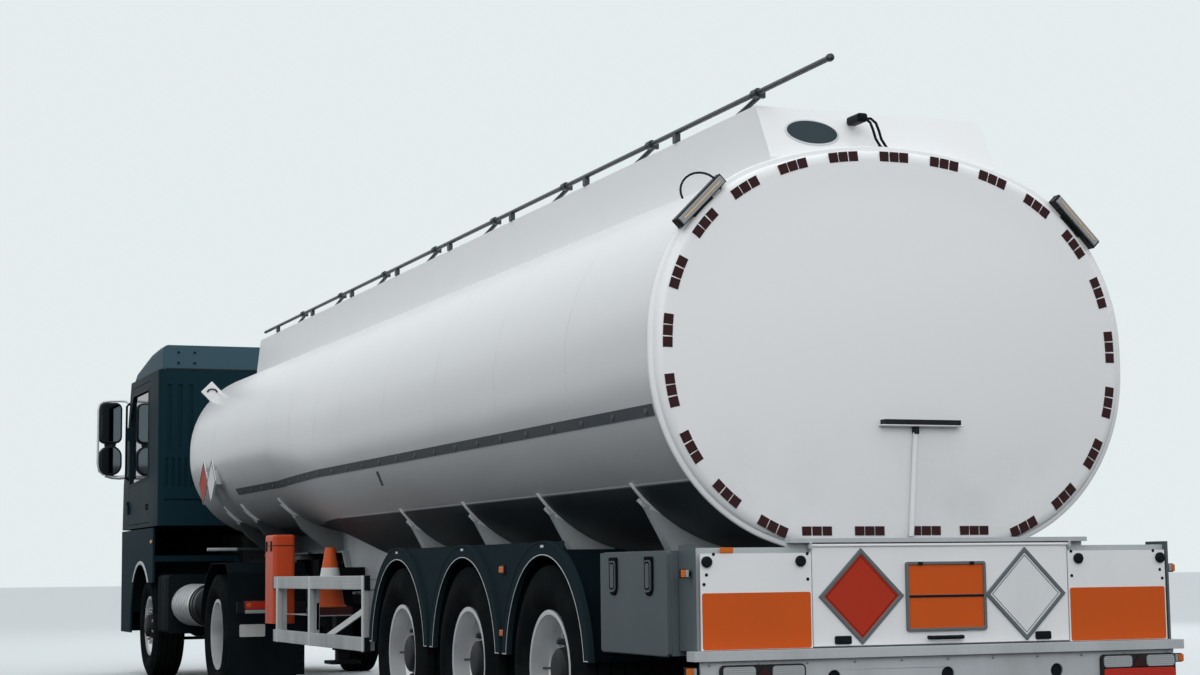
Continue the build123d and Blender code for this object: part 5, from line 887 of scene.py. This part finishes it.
# Rear lockers: folded sheet boxes in grey paint with hinged doors, each held by two black paddle
# latches on a base with a round lower lobe.
locker_grey = Finish("locker_paint", (0.082, 0.106, 0.114), 0.45).worn((0.10, 0.105, 0.105), 0.6, 2.4)
redrawn("side_lockers", "locker_boxes", locker_grey, "trailer", "frame_paint", 0.002)
latch_black = Finish("latch_plastic", (0.004, 0.006, 0.007), 0.5, shine=0.01)
latch_black.grained(350.0, 2.0, 0.0003, 0.4)
for side, hand in SIDES:
    door = "locker_door_" + hand
    redrawn(door, "locker_panel_" + hand, locker_grey, door, "frame_paint", 0.003)
    paddle = Stock()
    for x in (-7.135, -6.715):
        paddle.plate(rounded((x - 0.050, 0.955), (x + 0.050, 1.068), 0.012), 1, side * 1.2502, side * 1.2560)
        paddle.plate(rounded((x - 0.050, 0.896), (x + 0.050, 0.990), 0.046), 1, side * 1.2503, side * 1.2559)
        paddle.plate(rounded((x - 0.030, 0.922), (x + 0.030, 1.046), 0.016), 1, side * 1.2555, side * 1.2630,
                     rounded((x - 0.022, 0.930), (x + 0.022, 1.038), 0.010))
        paddle.block((x - 0.022, side * 1.2555, 0.985), (x + 0.022, side * 1.2600, 1.036))
    paddle.piece("locker_latches_" + hand, latch_black, door, "dark_plastic", 0.0015)

# Rear beam, ledge and side cheeks: pressed and welded steel in pale paint, the cheeks in grey, with a
# row of small rivets above the lamps, an under-run bar, a black wiring cover and a blank plate.
beam_paint = Finish("beam_paint", (0.50, 0.53, 0.545), 0.4).worn((0.20, 0.20, 0.195), 0.55, 2.6)


def on_cheek(c):
    return abs(c.y) > 1.185 and c.x > -7.56 and 0.6652 < c.z < 1.116


copy_of("rear_bumper", on_cheek).piece("rear_cheeks", locker_grey, "trailer", "frame_paint")
copy_of("rear_bumper", lambda c: not on_cheek(c)).piece(
    "rear_beam", beam_paint, "trailer", "frame_paint", 0.003, replaces=("rear_bumper",))
Stock().plate(rounded((-0.680, 0.512), (0.680, 0.598), 0.012), 0, -7.522, -7.516).piece(
    "wiring_cover", camera_black, "trailer", "dark_plastic")
plate_face = Finish("blank_plate", (0.66, 0.67, 0.66), 0.35).worn((0.30, 0.30, 0.29), 0.3, 8.0)
Stock().plate(rounded((-0.257, 0.398), (0.257, 0.502), 0.010), 0, -7.5425, -7.5405).piece(
    "rear_plate_face", plate_face, "trailer", "sign_face", 0.0006)
small_rivet = Stock().turned([(0.0, 0.0075), (-0.0016, 0.0072), (-0.0028, 0.0048), (-0.0032, 0.002)],
                             (0, 0, 0), 0, 10)
spots = [((-7.5352, -1.15 + 0.23 * k, 0.607), (0, 0, 0), 1.0) for k in range(11)]
repeated("beam_rivets", small_rivet, spots, rivet_alloy, "trailer")

# Sign boards: white sheet with an orange reflective panel below, held by black-headed rivets, and two
# black rubber stops; between them the centre flap, with its own rod, latches and grab handle.
BOARD_X = -7.5152
board_white = Finish("board_white", (0.84, 0.845, 0.85), 0.4).worn((0.55, 0.55, 0.54), 0.22, 3.0)
orange_sheet = Finish("orange_reflective", (0.64, 0.100, 0.014), 0.5, shine=0.1)
orange_sheet.worn((0.46, 0.10, 0.03), 0.35, 4.0)
redrawn("sign_boards", "sign_board_sheet", board_white, "trailer", "sign_face", 0.0015)
for low, high, hand in ((0.656, 1.168, "left"), (-1.168, -0.656, "right")):
    Stock().plate(rounded((low, 0.669), (high, 0.908), 0.010), 0, -7.5165, BOARD_X).piece(
        "orange_panel_" + hand, orange_sheet, "trailer", "sign_face")
stops = Stock()
for y in (0.703, 1.146):
    stops.turned([(0.0, 0.024), (-0.012, 0.024), (-0.017, 0.018), (-0.017, 0.006)], (BOARD_X, y, 1.040), 0, 28)
stops.both().piece("board_stops", camera_black, "trailer", "dark_plastic", 0.0015)
spots = [((BOARD_X, side * y, z), (0, 0, 0), 1.0) for side in (1, -1) for y, z in
         ((0.668, 0.962), (0.668, 1.072), (1.158, 0.945), (1.146, 0.985), (1.112, 1.072))]
repeated("board_rivets", small_rivet, spots, camera_black, "trailer")
FLAP_X = -7.515
flap = Stock().block((FLAP_X, -0.645, 0.672), (-7.485, 0.645, 1.102))
flap.turned([(-0.659, 0.007), (0.659, 0.007)], (-7.517, 0, 1.106), 1, 20)
flap.piece("flap_panel", board_white, "rear_flap", "sign_face", 0.0025, replaces=("rear_flap",))
fittings = Stock()
fittings.tube([(x, y, 0.700) for x, y in ((-7.514, 0.080), (-7.538, 0.078), (-7.546, 0.066), (-7.546, 0.0),
                                          (-7.546, -0.066), (-7.538, -0.078), (-7.514, -0.080))], 0.009)
for y in (-0.505, 0.505):
    fittings.plate(rounded((y - 0.040, 0.680), (y + 0.040, 0.716), 0.008), 0, -7.5235, FLAP_X)
    fittings.plate(rounded((y - 0.030, 0.690), (y + 0.018, 0.706), 0.006), 0, -7.5275, -7.5235)
fittings.piece("flap_latches_and_handle", camera_black, "rear_flap", "dark_plastic", 0.0012)

# Warning signs: square aluminium frames on edge round blank red and white faces, and an orange number
# panel in the same frame, with a dark middle bar and clips, its figures left off; two on each flank.
SIGN_Z, FLANK_SIGN_Z = 0.885, 1.825
sign_frame = Finish("sign_frame_alloy", (0.14, 0.165, 0.175), 0.42, 0.3).grained(90.0, 3.0, 0.0004, 0.4)
sign_red = Finish("sign_red", (0.46, 0.034, 0.012), 0.5, shine=0.15).worn((0.34, 0.05, 0.03), 0.35, 6.0)
sign_white = Finish("sign_white", (0.76, 0.775, 0.785), 0.45).worn((0.48, 0.48, 0.47), 0.25, 6.0)


def diamond(y, z, reach):
    return [(y + reach, z), (y, z + reach), (y - reach, z), (y, z - reach)]


frames, borders = Stock(), Stock()
for y, finish, name in ((0.410, sign_red, "red_diamond"), (-0.420, sign_white, "white_diamond")):
    frames.plate(diamond(y, SIGN_Z, 0.2100), 0, -7.523, FLAP_X, diamond(y, SIGN_Z, 0.184))
    Stock().plate(diamond(y, SIGN_Z, 0.1845), 0, -7.5185, FLAP_X).piece(name, finish, "rear_flap", "sign_face")
    borders.plate(diamond(y, SIGN_Z, 0.1735), 0, -7.5192, -7.5184, diamond(y, SIGN_Z, 0.1700))
frames.piece("diamond_frames", sign_frame, "rear_flap", "bare_aluminium", 0.003, replaces=("flap_signs",))
borders.piece("diamond_borders", camera_black, "rear_flap", "sign_face")
panel_frame = Stock().plate(rounded((-0.212, 0.728), (0.192, 1.032), 0.012), 0, -7.529, FLAP_X,
                            rounded((-0.199, 0.741), (0.179, 1.019), 0.006))
panel_frame.block((-7.5255, -0.200, 0.8745), (FLAP_X, 0.180, 0.8865))
panel_bar = Stock().block((-7.5262, -0.199, 0.8755), (-7.520, 0.179, 0.8855))
for y in (-0.14, 0.12):
    panel_bar.block((-7.5305, y - 0.012, 1.017), (-7.520, y + 0.012, 1.031))
panel_bar.piece("number_panel_bar", camera_black, "rear_flap", "dark_plastic", 0.0008)
panel_frame.piece("number_panel_frame", sign_frame, "rear_flap", "dark_plastic", 0.0015)
Stock().block((-7.522, -0.1995, 0.7405), (FLAP_X, 0.1795, 1.0195)).piece(
    "number_panel_face", orange_sheet, "rear_flap", "sign_face")
for x, finish, name in ((2.975, sign_white, "flank_white"), (3.325, sign_red, "flank_red")):
    face = diamond(x, FLANK_SIGN_Z, 0.178)
    Stock().plate(face, 1, 1.1881, 1.1895).both().piece(name + "_faces", finish, "trailer", "sign_face")
    Stock().plate(diamond(x, FLANK_SIGN_Z, 0.1905), 1, 1.1878, 1.1925, face).both().piece(
        name + "_frames", sign_frame, "trailer", "bare_aluminium", 0.001)

# Trailer lamps: rounded tail lamp bodies with clear and red moulded lenses and a triangle reflector,
# strip lamps with a warm filament line on brackets at the top corners, and a lamp low on the head, a
# dark bar on a white stem.
lamp_body = Finish("lamp_body_plastic", (0.010, 0.012, 0.013), 0.5, shine=0.2)
lamp_body.worn((0.050, 0.050, 0.048), 0.5, 7.0)
red_lens = ribbed(Finish("red_lens", (0.50, 0.022, 0.010), 0.2, shine=0.3), 2, 3, 950, 0.0005, 0.5)
clear_lens = ribbed(Finish("clear_lens", (0.34, 0.36, 0.37), 0.16, shine=0.4), 2, 3, 700, 0.0006, 0.6)
LENS_X = -7.5628
bodies, reds, clears, ambers, glow, triangles = (Stock() for _ in range(6))
for y in (0.905, -0.985):
    bodies.plate(rounded((y - 0.200, 0.485), (y + 0.200, 0.605), 0.022), 0, -7.556, -7.535)
    reds.plate(rounded((y - 0.190, 0.492), (y + 0.190, 0.541), 0.014), 0, LENS_X, -7.554)
    for low, high in ((y - 0.190, y - 0.040), (y + 0.040, y + 0.190)):
        clears.plate(rounded((low, 0.547), (high, 0.598), 0.014), 0, LENS_X, -7.554)
    triangles.plate([(y - 0.036, 0.548), (y + 0.036, 0.548), (y, 0.600)], 0, LENS_X, -7.554)
triangles.piece("triangle_reflectors", tape_red, "trailer", "lamp", 0.001)
bodies.piece("tail_lamp_bodies", lamp_body, "trailer", "dark_plastic", 0.003)
SLANT = 0.7071


def corner_plate(stock, side, y, z, length, width, x0, x1):
    """A plate set at 45 degrees across a top corner of the tank."""
    run, rise = Vector((side * SLANT, -SLANT)), Vector((side * SLANT, SLANT))
    mid = Vector((side * y, z))
    stock.plate([tuple(mid + run * u * length / 2 + rise * v * width / 2)
                 for u, v in ((-1, -1), (1, -1), (1, 1), (-1, 1))], 0, x0, x1)


strip_bodies, corner_marks = Stock(), Stock()
for side in (1, -1):
    corner_plate(strip_bodies, side, 0.990, 2.657, 0.312, 0.048, -7.178, -7.132)
    corner_plate(strip_bodies, side, 0.972, 2.640, 0.130, 0.090, -7.151, -7.131)
    corner_plate(clears, side, 0.990, 2.657, 0.290, 0.036, -7.191, -7.177)
    corner_plate(glow, side, 0.990, 2.657, 0.250, 0.006, -7.1925, -7.190)
    corner_plate(corner_marks, side, 0.985, 2.700, 0.140, 0.150, 3.995, 4.021)


def hoop(x, y, z, half_w, height, start, sweep, steps):
    """Points along part of an oval loop that stands across the lorry; start and sweep in half turns."""
    turns = [math.pi * (start + sweep * k / steps) for k in range(steps + 1)]
    return [(x, y + half_w * math.cos(a), z + height * math.sin(a)) for a in turns]


strip_bodies.tube(hoop(-7.165, 0.985, 2.700, 0.10, 0.085, -0.15, 1.1, 14), 0.0055, 10)
strip_bodies.block((-7.221, -0.292, 1.660), (-7.175, 0.108, 1.683))
strip_bodies.block((-7.206, -0.078, 1.618), (-7.172, -0.056, 1.662))
strip_bodies.piece("strip_lamp_bodies", lamp_body, "trailer", "dark_plastic", 0.004,
                   replaces=("trailer_lamps",))
stem = Stock().block((-7.221, -0.302, 1.652), (-7.172, 0.118, 1.6595))
stem.tube([(-7.190, -0.066, 1.625), (-7.186, -0.032, 1.146)], 0.0125, 16)
plate_leads = Stock().tube(hoop(3.990, 0.985, 2.700, 0.045, 0.030, 0, 1, 8), 0.007, 10)
plate_leads.both().piece("corner_plate_leads", camera_black, "trailer", "dark_plastic")
stem.piece("lamp_stem", board_white, "trailer", "frame_paint", 0.004)
corner_marks.piece("front_corner_plates", board_white, "trailer", "frame_paint", 0.003)
warm_line = Finish("warm_filament", (0.80, 0.50, 0.24), 0.3).grained(200.0, 2.0, 0.0002, 0.3)
glow.piece("strip_lamp_filaments", warm_line, "trailer", "lamp")
stalks = Stock()
for side in (1, -1):
    for x, y, z in ((-7.475, 1.202, 0.992), (-7.515, 1.190, 0.580)):
        stalks.tube([(x, side * (y - 0.02), z), (x, side * (y + 0.012), z), (x, side * (y + 0.03), z)], 0.011)
        stalks.block((x - 0.004, side * (y + 0.010), z - 0.020), (x + 0.020, side * 1.2495, z + 0.020))
        clears.block((x - 0.016, side * (y + 0.014), z - 0.016), (x - 0.004, side * (y + 0.028), z + 0.016))
        ambers.block((x - 0.016, side * (y + 0.030), z - 0.016), (x - 0.004, side * 1.2490, z + 0.016))
stalks.piece("side_marker_stalks", camera_black, "trailer", "dark_plastic", 0.003)
reds.piece("red_lenses", red_lens, "trailer", "lamp", 0.002)
clears.piece("clear_lenses", clear_lens, "trailer", "lamp", 0.002)
ambers.piece("amber_lenses", amber_lens, "trailer", "lamp", 0.002)
head = Stock().plate(rounded((0.098, 3.086), (0.152, 3.128), 0.014), 0, -7.112, -7.000)
head.turned([(-0.006, 0.013), (0.0, 0.016), (0.010, 0.017)], (-7.114, 0.125, 3.107), 0, 28)
head.piece("camera_head", camera_black, "trailer", "dark_plastic", 0.004)
small_lamp = Stock().block((-7.520, 1.020, 1.076), (-7.506, 1.080, 1.100))
small_lamp.piece("board_top_lamp", amber_lens, "trailer", "lamp", 0.003)

# Tractor chassis: steel rails, axles and brackets in black chassis paint with a film of dust; the
# engine is one bare iron block, and the fifth wheel's plate is greased, its bore a film wider.
iron = Finish("engine_iron", (0.060, 0.062, 0.064), 0.55, 0.3)
iron.worn((0.060, 0.056, 0.052), 0.6, 4.0, 70.0, 0.002, 3.0)
greased = Finish("greased_plate", (0.045, 0.043, 0.040), 0.28, 0.4)
greased.worn((0.10, 0.09, 0.075), 0.5, 6.0, 90.0, 0.0008, 3.0)
PIN_X, PIN_REACH, GREASE = 3.125, 0.05, 0.0008
for node, finish in (("tractor_frame", chassis_black), ("front_axle", chassis_black),
                     ("drive_axle", chassis_black), ("engine", iron), ("fifth_wheel", greased)):
    casting = copy_of(node)
    if node == "fifth_wheel":
        for i, (x, y, z) in enumerate(casting.verts):
            reach = math.hypot(x - PIN_X, y)
            grow = 1 + GREASE / reach if reach < PIN_REACH else 1
            casting.verts[i] = (PIN_X + (x - PIN_X) * grow, y * grow, z - GREASE)
    casting.piece(node + "_steel", finish, "tractor", "cast_iron", 0.003, replaces=(node,))
dress(chassis_black, "knuckle_left", "knuckle_right", "track_rod")

# Tractor mudguards and flaps: black moulded plastic over the twins and inside the front arches, with
# blank flaps, and a blank number plate under each tail lamp.
guard_black = Finish("guard_plastic", (0.006, 0.010, 0.013), 0.55, shine=0.015)
guard_black.worn((0.020, 0.024, 0.026), 0.6, 3.0, 420.0)
redrawn("tractor_mudguards", "tractor_guards", guard_black, "tractor", "dark_plastic", 0.002)
small_plates = Stock().plate(rounded((0.935, 0.500), (1.150, 0.602), 0.010), 0, 1.9325, 1.9355)
small_plates.both().piece("tractor_plates", plate_face, "tractor", "sign_face")

# Along the tractor: a stainless silencer with a pale band at its dark rear end, a black battery box
# with two straps, and on the right a smooth aluminium fuel tank held by straps over rubber.
SILENCER_REAR, SILENCER_FRONT, SKIN = 3.960, 4.880, (0.50, 0.515, 0.53)
tank_alloy = Finish("fuel_tank_aluminium", (0.68, 0.69, 0.70), 0.34, 0.7).worn((0.26, 0.25, 0.24), 0.5, 2.5)
silencer_skin = Finish("silencer_skin", SKIN, 0.36, 0.6)
rear_end = silencer_skin.place()[1] < SILENCER_REAR
silencer_skin.feed(Base_Color=silencer_skin.mix(rear_end, SKIN, (0.020, 0.024, 0.026)),
                   Roughness=silencer_skin.noise(6.0, 4.0) * 0.3 + 0.25)
silencer_skin.grained(120.0, 3.0, 0.0004, 0.5)
copy_of("side_tanks", lambda c: c.y > 0.2 and c.x < SILENCER_FRONT).piece(
    "silencer_shell", silencer_skin, "tractor", "bare_aluminium", sharp=30, replaces=("side_tanks",))
copy_of("side_tanks", lambda c: c.y > 0.2 and c.x >= SILENCER_FRONT).piece(
    "battery_box_shell", guard_black, "tractor", "dark_plastic", 0.004)
copy_of("side_tanks", lambda c: c.y < 0.2).piece(
    "fuel_tank_shell", tank_alloy, "tractor", "bare_aluminium", sharp=30)
bands, straps = Stock(), Stock()
bands.turned([(0.0, 0.1895), (0.001, 0.1975), (0.069, 0.1975), (0.070, 0.1895)], (3.962, 1.000, 0.735), 0, 72)
bands.piece("silencer_end_band", tank_alloy, "tractor", "bare_aluminium", sharp=50)
STRAP = 0.004
# low corner, high corner, corner radius, steps, width, places: the fuel tank, then the battery box
for (y0, z0), (y1, z1), corner, steps, width, places in (
        ((-1.2135, 0.4165), (-0.5265, 1.0435), 0.1335, 10, 0.055, (3.95, 4.45, 4.95)),
        ((0.384, 0.4565), (1.2135, 1.0235), 0.0435, 6, 0.045, (5.02, 5.36))):
    inner = rounded((y0 + STRAP, z0 + STRAP), (y1 - STRAP, z1 - STRAP), corner - STRAP, steps)
    for x in places:
        straps.plate(rounded((y0, z0), (y1, z1), corner, steps), 0, x, x + width, inner)
straps.piece("tank_straps", guard_black, "tractor", "bare_aluminium", 0.0008)

# Tractor lamps: clear headlamps with a reflector bowl behind the lens, and tail lamps in black cases
# with a red field, an amber dot and a clear foot.
cases, red_fields, clear_fields, dots = (Stock() for _ in range(4))
cases.plate(rounded((0.950, 0.690), (1.170, 0.800), 0.018), 0, 1.664, 1.697)
red_fields.plate(rounded((0.958, 0.730), (1.162, 0.794), 0.012), 0, 1.6582, 1.666)
clear_fields.plate(rounded((0.958, 0.696), (1.162, 0.725), 0.008), 0, 1.6582, 1.666)
dots.turned([(-0.003, 0.015), (-0.001, 0.019), (0.004, 0.020)], (1.6582, 1.128, 0.762), 0, 28)
clear_fields.plate(rounded((0.660, 0.625), (1.040, 0.815), 0.050), 0, 7.695, 7.714)
for y in (0.765, 0.935):
    cases.turned([(0.0, 0.074), (0.004, 0.078), (0.008, 0.070)], (7.7065, y, 0.722), 0, 32)
cases.both().piece("tractor_lamp_cases", lamp_body, "tractor", "dark_plastic", 0.002,
                   replaces=("tractor_lamps",))
red_fields.both().piece("tractor_red_lenses", red_lens, "tractor", "lamp", 0.002)
clear_fields.both().piece("tractor_clear_lenses", clear_lens, "tractor", "lamp", 0.003)
dots.both().piece("tractor_amber_lenses", amber_lens, "tractor", "lamp", 0.002)

# Cab: pressed and welded steel in dark slate paint, paler on the roof cap where the light falls,
# with hinged doors, rubber seals round the windows, sunk handles and a thin road film low down.
CAB_DARK, CAP_FOOT = (0.008, 0.028, 0.039), 3.030
cab_paint = Finish("cab_paint", CAB_DARK, 0.45, shine=0.012)
height = cab_paint.place()[3]
cap_fade = ((height - CAP_FOOT) * 60).clamped()
cab_film = cab_paint.patches(2.0, 6.0, 0.42, 2.2, 0.6, DRIFT)
cab_low = ((1.9 - height) * 0.9).clamped()
cab_cover = (cab_film * (cab_low * 0.5 + 0.12)).clamped()
dusty = cab_paint.mix(cab_cover, CAB_DARK, (0.022, 0.034, 0.040))
cab_paint.feed(Base_Color=cab_paint.mix(cap_fade, dusty, (0.055, 0.105, 0.132)),
               Roughness=cab_cover * 0.3 + 0.40)
cab_paint.grained(260.0, 2.0, 0.0002, 0.4)
redrawn("cab_shell", "cab_body", cab_paint, "tractor", "cab_paint", 0.003, 28)
seal = Finish("rubber_seal", (0.010, 0.011, 0.012), 0.6).grained(300.0, 2.0, 0.0004, 0.5)
dark_glass = Finish("tinted_glass", (0.020, 0.030, 0.033), 0.04, Transmission_Weight=0.35, Coat_Weight=0.3)
dark_glass.feed(Roughness=dark_glass.patches(3.0, 5.0, 0.4, 0.5) * 0.12 + 0.03)
dress(dark_glass, "windscreen", "door_glass_left", "door_glass_right")
WINDOW = [(5.945, 2.010), (7.065, 1.960), (7.065, 2.640), (6.875, 2.880), (5.945, 2.880)]


def inset(points, by):
    """Move the sides of a closed outline inward."""
    moved, count = [], len(points)
    turn = sum(a[0] * b[1] - b[0] * a[1] for a, b in zip(points, points[1:] + points[:1]))
    way = 1 if turn > 0 else -1
    for i in range(count):
        p, q, r = (Vector(points[(i + k) % count]) for k in (-1, 0, 1))
        one, two = (q - p).normalized(), (r - q).normalized()
        n1, n2 = Vector((-one.y, one.x)) * way, Vector((-two.y, two.x)) * way
        moved.append(tuple(q + (n1 + n2) * by / (1 + n1.dot(n2))))
    return moved


DOOR_X0 = 5.855
for side, hand in SIDES:
    door = "door_" + hand
    redrawn(door, "door_panel_" + hand, cab_paint, door, "cab_paint", 0.003, 28)
    rubbers = Stock().plate(inset(WINDOW, -0.020), 1, side * 1.2452, side * 1.2485, inset(WINDOW, 0.004))
    rubbers.block((DOOR_X0 + 0.048, side * 1.224, 1.676), (DOOR_X0 + 0.212, side * 1.2275, 1.724))
    rubbers.piece("window_seal_" + hand, seal, door, "dark_plastic", 0.001)
    handle = Stock().block((DOOR_X0 + 0.055, side * 1.232, 1.690), (DOOR_X0 + 0.205, side * 1.244, 1.712))
    handle.piece("door_handle_" + hand, guard_black, door, "dark_plastic", 0.002)
cap_bolts = [((5.3248, side * y, z), (0, 0, math.pi), 0.5) for side in (1, -1)
             for y in (1.06, 0.90) for z in (3.100, 3.205)]
repeated("roof_cap_bolts", nut, cap_bolts, camera_black, "tractor")
cab_seam = Stock().block((5.345, 1.2135, 3.0345), (7.06, 1.2175, 3.0465)).both()
cab_seam.block((5.3215, -1.180, 3.0335), (5.3255, 1.180, 3.0475))
cab_seam.piece("roof_cap_seam", seal, "tractor", "dark_plastic")

# Bumper, grille and steps: moulded panels in the cab's paint with a plain black slatted grille, pale
# arch lips and a blank front number plate.
bumper_paint = Finish("bumper_paint", CAB_DARK, 0.5, shine=0.012)
on_arch = abs(bumper_paint.place()[2]) > 1.2462
dusty = bumper_paint.mix(bumper_paint.patches(3.0, 5.0, 0.42, 2.0) * 0.5, CAB_DARK, (0.022, 0.038, 0.046))
bumper_paint.feed(Base_Color=bumper_paint.mix(on_arch, dusty, (0.62, 0.66, 0.68)))
bumper_paint.grained(300.0, 2.0, 0.0003, 0.4)
redrawn("front_bumper", "bumper_shell", bumper_paint, "tractor", "cab_paint", 0.004)
mesh_back = Stock().block((7.660, -0.935, 1.050), (7.6695, 0.935, 1.440))
mesh_back.block((7.560, -1.060, 1.470), (7.600, 1.060, 1.4985))
mesh_back.piece("grille_backing", guard_black, "tractor", "dark_plastic")
redrawn("grille", "grille_slats", guard_black, "tractor", "dark_plastic", 0.004)
Stock().plate(rounded((-0.256, 0.548), (0.256, 0.652), 0.010), 0, 7.7008, 7.7022).piece(
    "front_plate_face", plate_face, "tractor", "sign_face")
Stock().plate(rounded((5.62, 1.330), (5.72, 1.365), 0.012), 1, 1.2452, 1.2560).both().piece(
    "cab_side_markers", amber_lens, "tractor", "lamp", 0.003)

# Mirrors: black moulded heads on silver arms, with a tall flat glass over a round-cornered wide-angle
# one, each glass in a thin rim on the rearward side.
mirror_silver = Finish("mirror_silver", (0.72, 0.75, 0.76), 0.35, 0.3).grained(200.0, 3.0, 0.0003, 0.4)
mirror_shell = Finish("mirror_shell", (0.010, 0.014, 0.017), 0.45, shine=0.2).grained(420.0, 2.0, 0.0003, 0.5)
heads, arms = Stock(), Stock()
heads.plate(rounded((1.302, 2.412), (1.540, 2.848), 0.070), 0, 7.236, 7.354)
heads.plate(rounded((1.302, 2.074), (1.540, 2.388), 0.110), 0, 7.236, 7.354)
heads.plate(rounded((1.362, 2.380), (1.480, 2.420), 0.012), 0, 7.262, 7.328)
for side in (1, -1):
    arms.tube([(x, side * y, z) for x, y, z in (
        (7.230, 1.235, 2.835), (7.252, 1.262, 2.862), (7.276, 1.310, 2.868), (7.290, 1.420, 2.866),
        (7.295, 1.500, 2.856), (7.295, 1.536, 2.825), (7.295, 1.547, 2.770), (7.295, 1.547, 2.450),
        (7.295, 1.547, 2.200), (7.295, 1.530, 2.120), (7.295, 1.480, 2.082))], 0.0125, 16)
    arms.tube([(x, side * y, z) for x, y, z in (
        (7.290, 1.470, 2.078), (7.290, 1.400, 2.058), (7.280, 1.320, 2.052), (7.262, 1.262, 2.058),
        (7.250, 1.225, 2.070))], 0.021, 16)
heads.both().piece("mirror_heads", mirror_shell, "tractor", "dark_plastic", 0.014, 50, replaces=("mirrors",))
arms.piece("mirror_arms", mirror_silver, "tractor", "bare_aluminium")
# The glass is a dark metal, a painted dark reflection in place of the surroundings it would mirror.
silvering = Finish("mirror_glass", (0.045, 0.060, 0.066), 0.03, 1.0)
silvering.feed(Roughness=silvering.patches(4.0, 4.0, 0.4, 0.4) * 0.1 + 0.02)
PANE_Y0, PANE_Y1, RIM = 1.322, 1.520, 0.006
panes, rims = Stock(), Stock()
for z0, z1, corner in ((2.094, 2.368, 0.092), (2.434, 2.828, 0.052)):
    pane = rounded((PANE_Y0, z0), (PANE_Y1, z1), corner, 10)
    panes.plate(pane, 0, 7.2325, 7.2362)
    rims.plate(rounded((PANE_Y0 - RIM, z0 - RIM), (PANE_Y1 + RIM, z1 + RIM), corner + RIM, 10),
               0, 7.2310, 7.2362, pane)
panes.both().piece("mirror_panes", silvering, "tractor", "glass")
rims.both().piece("mirror_rims", mirror_shell, "tractor", "dark_plastic")
grab = Stock()
for side in (1, -1):
    grab.tube([(7.150, side * 1.243, 2.020), (7.155, side * 1.272, 2.045), (7.155, side * 1.272, 2.430),
               (7.140, side * 1.272, 2.800), (7.132, side * 1.243, 2.830)], 0.012)
grab.piece("cab_grab_rails", guard_black, "tractor", "dark_plastic")

# Cab interior: seats, bunk, dashboard and steering wheel in one grey finish, the weave of the seat
# covers, as little of it shows through the tinted glass.
woven = Finish("seat_weave", (0.060, 0.064, 0.070), 0.9)
_, _, py, pz = woven.place()
woven.bump((py * 1200).wave() * (pz * 1200).wave() + woven.noise(300.0, 3.0), 0.001, 0.7)
thread = (woven.noise(30.0, 4.0) * 0.8).clamped()
woven.feed(Base_Color=woven.mix(thread, (0.045, 0.048, 0.054), (0.10, 0.105, 0.11)))
redrawn("cab_interior", "cab_trim", woven, "tractor", "seat_fabric", 0.008)
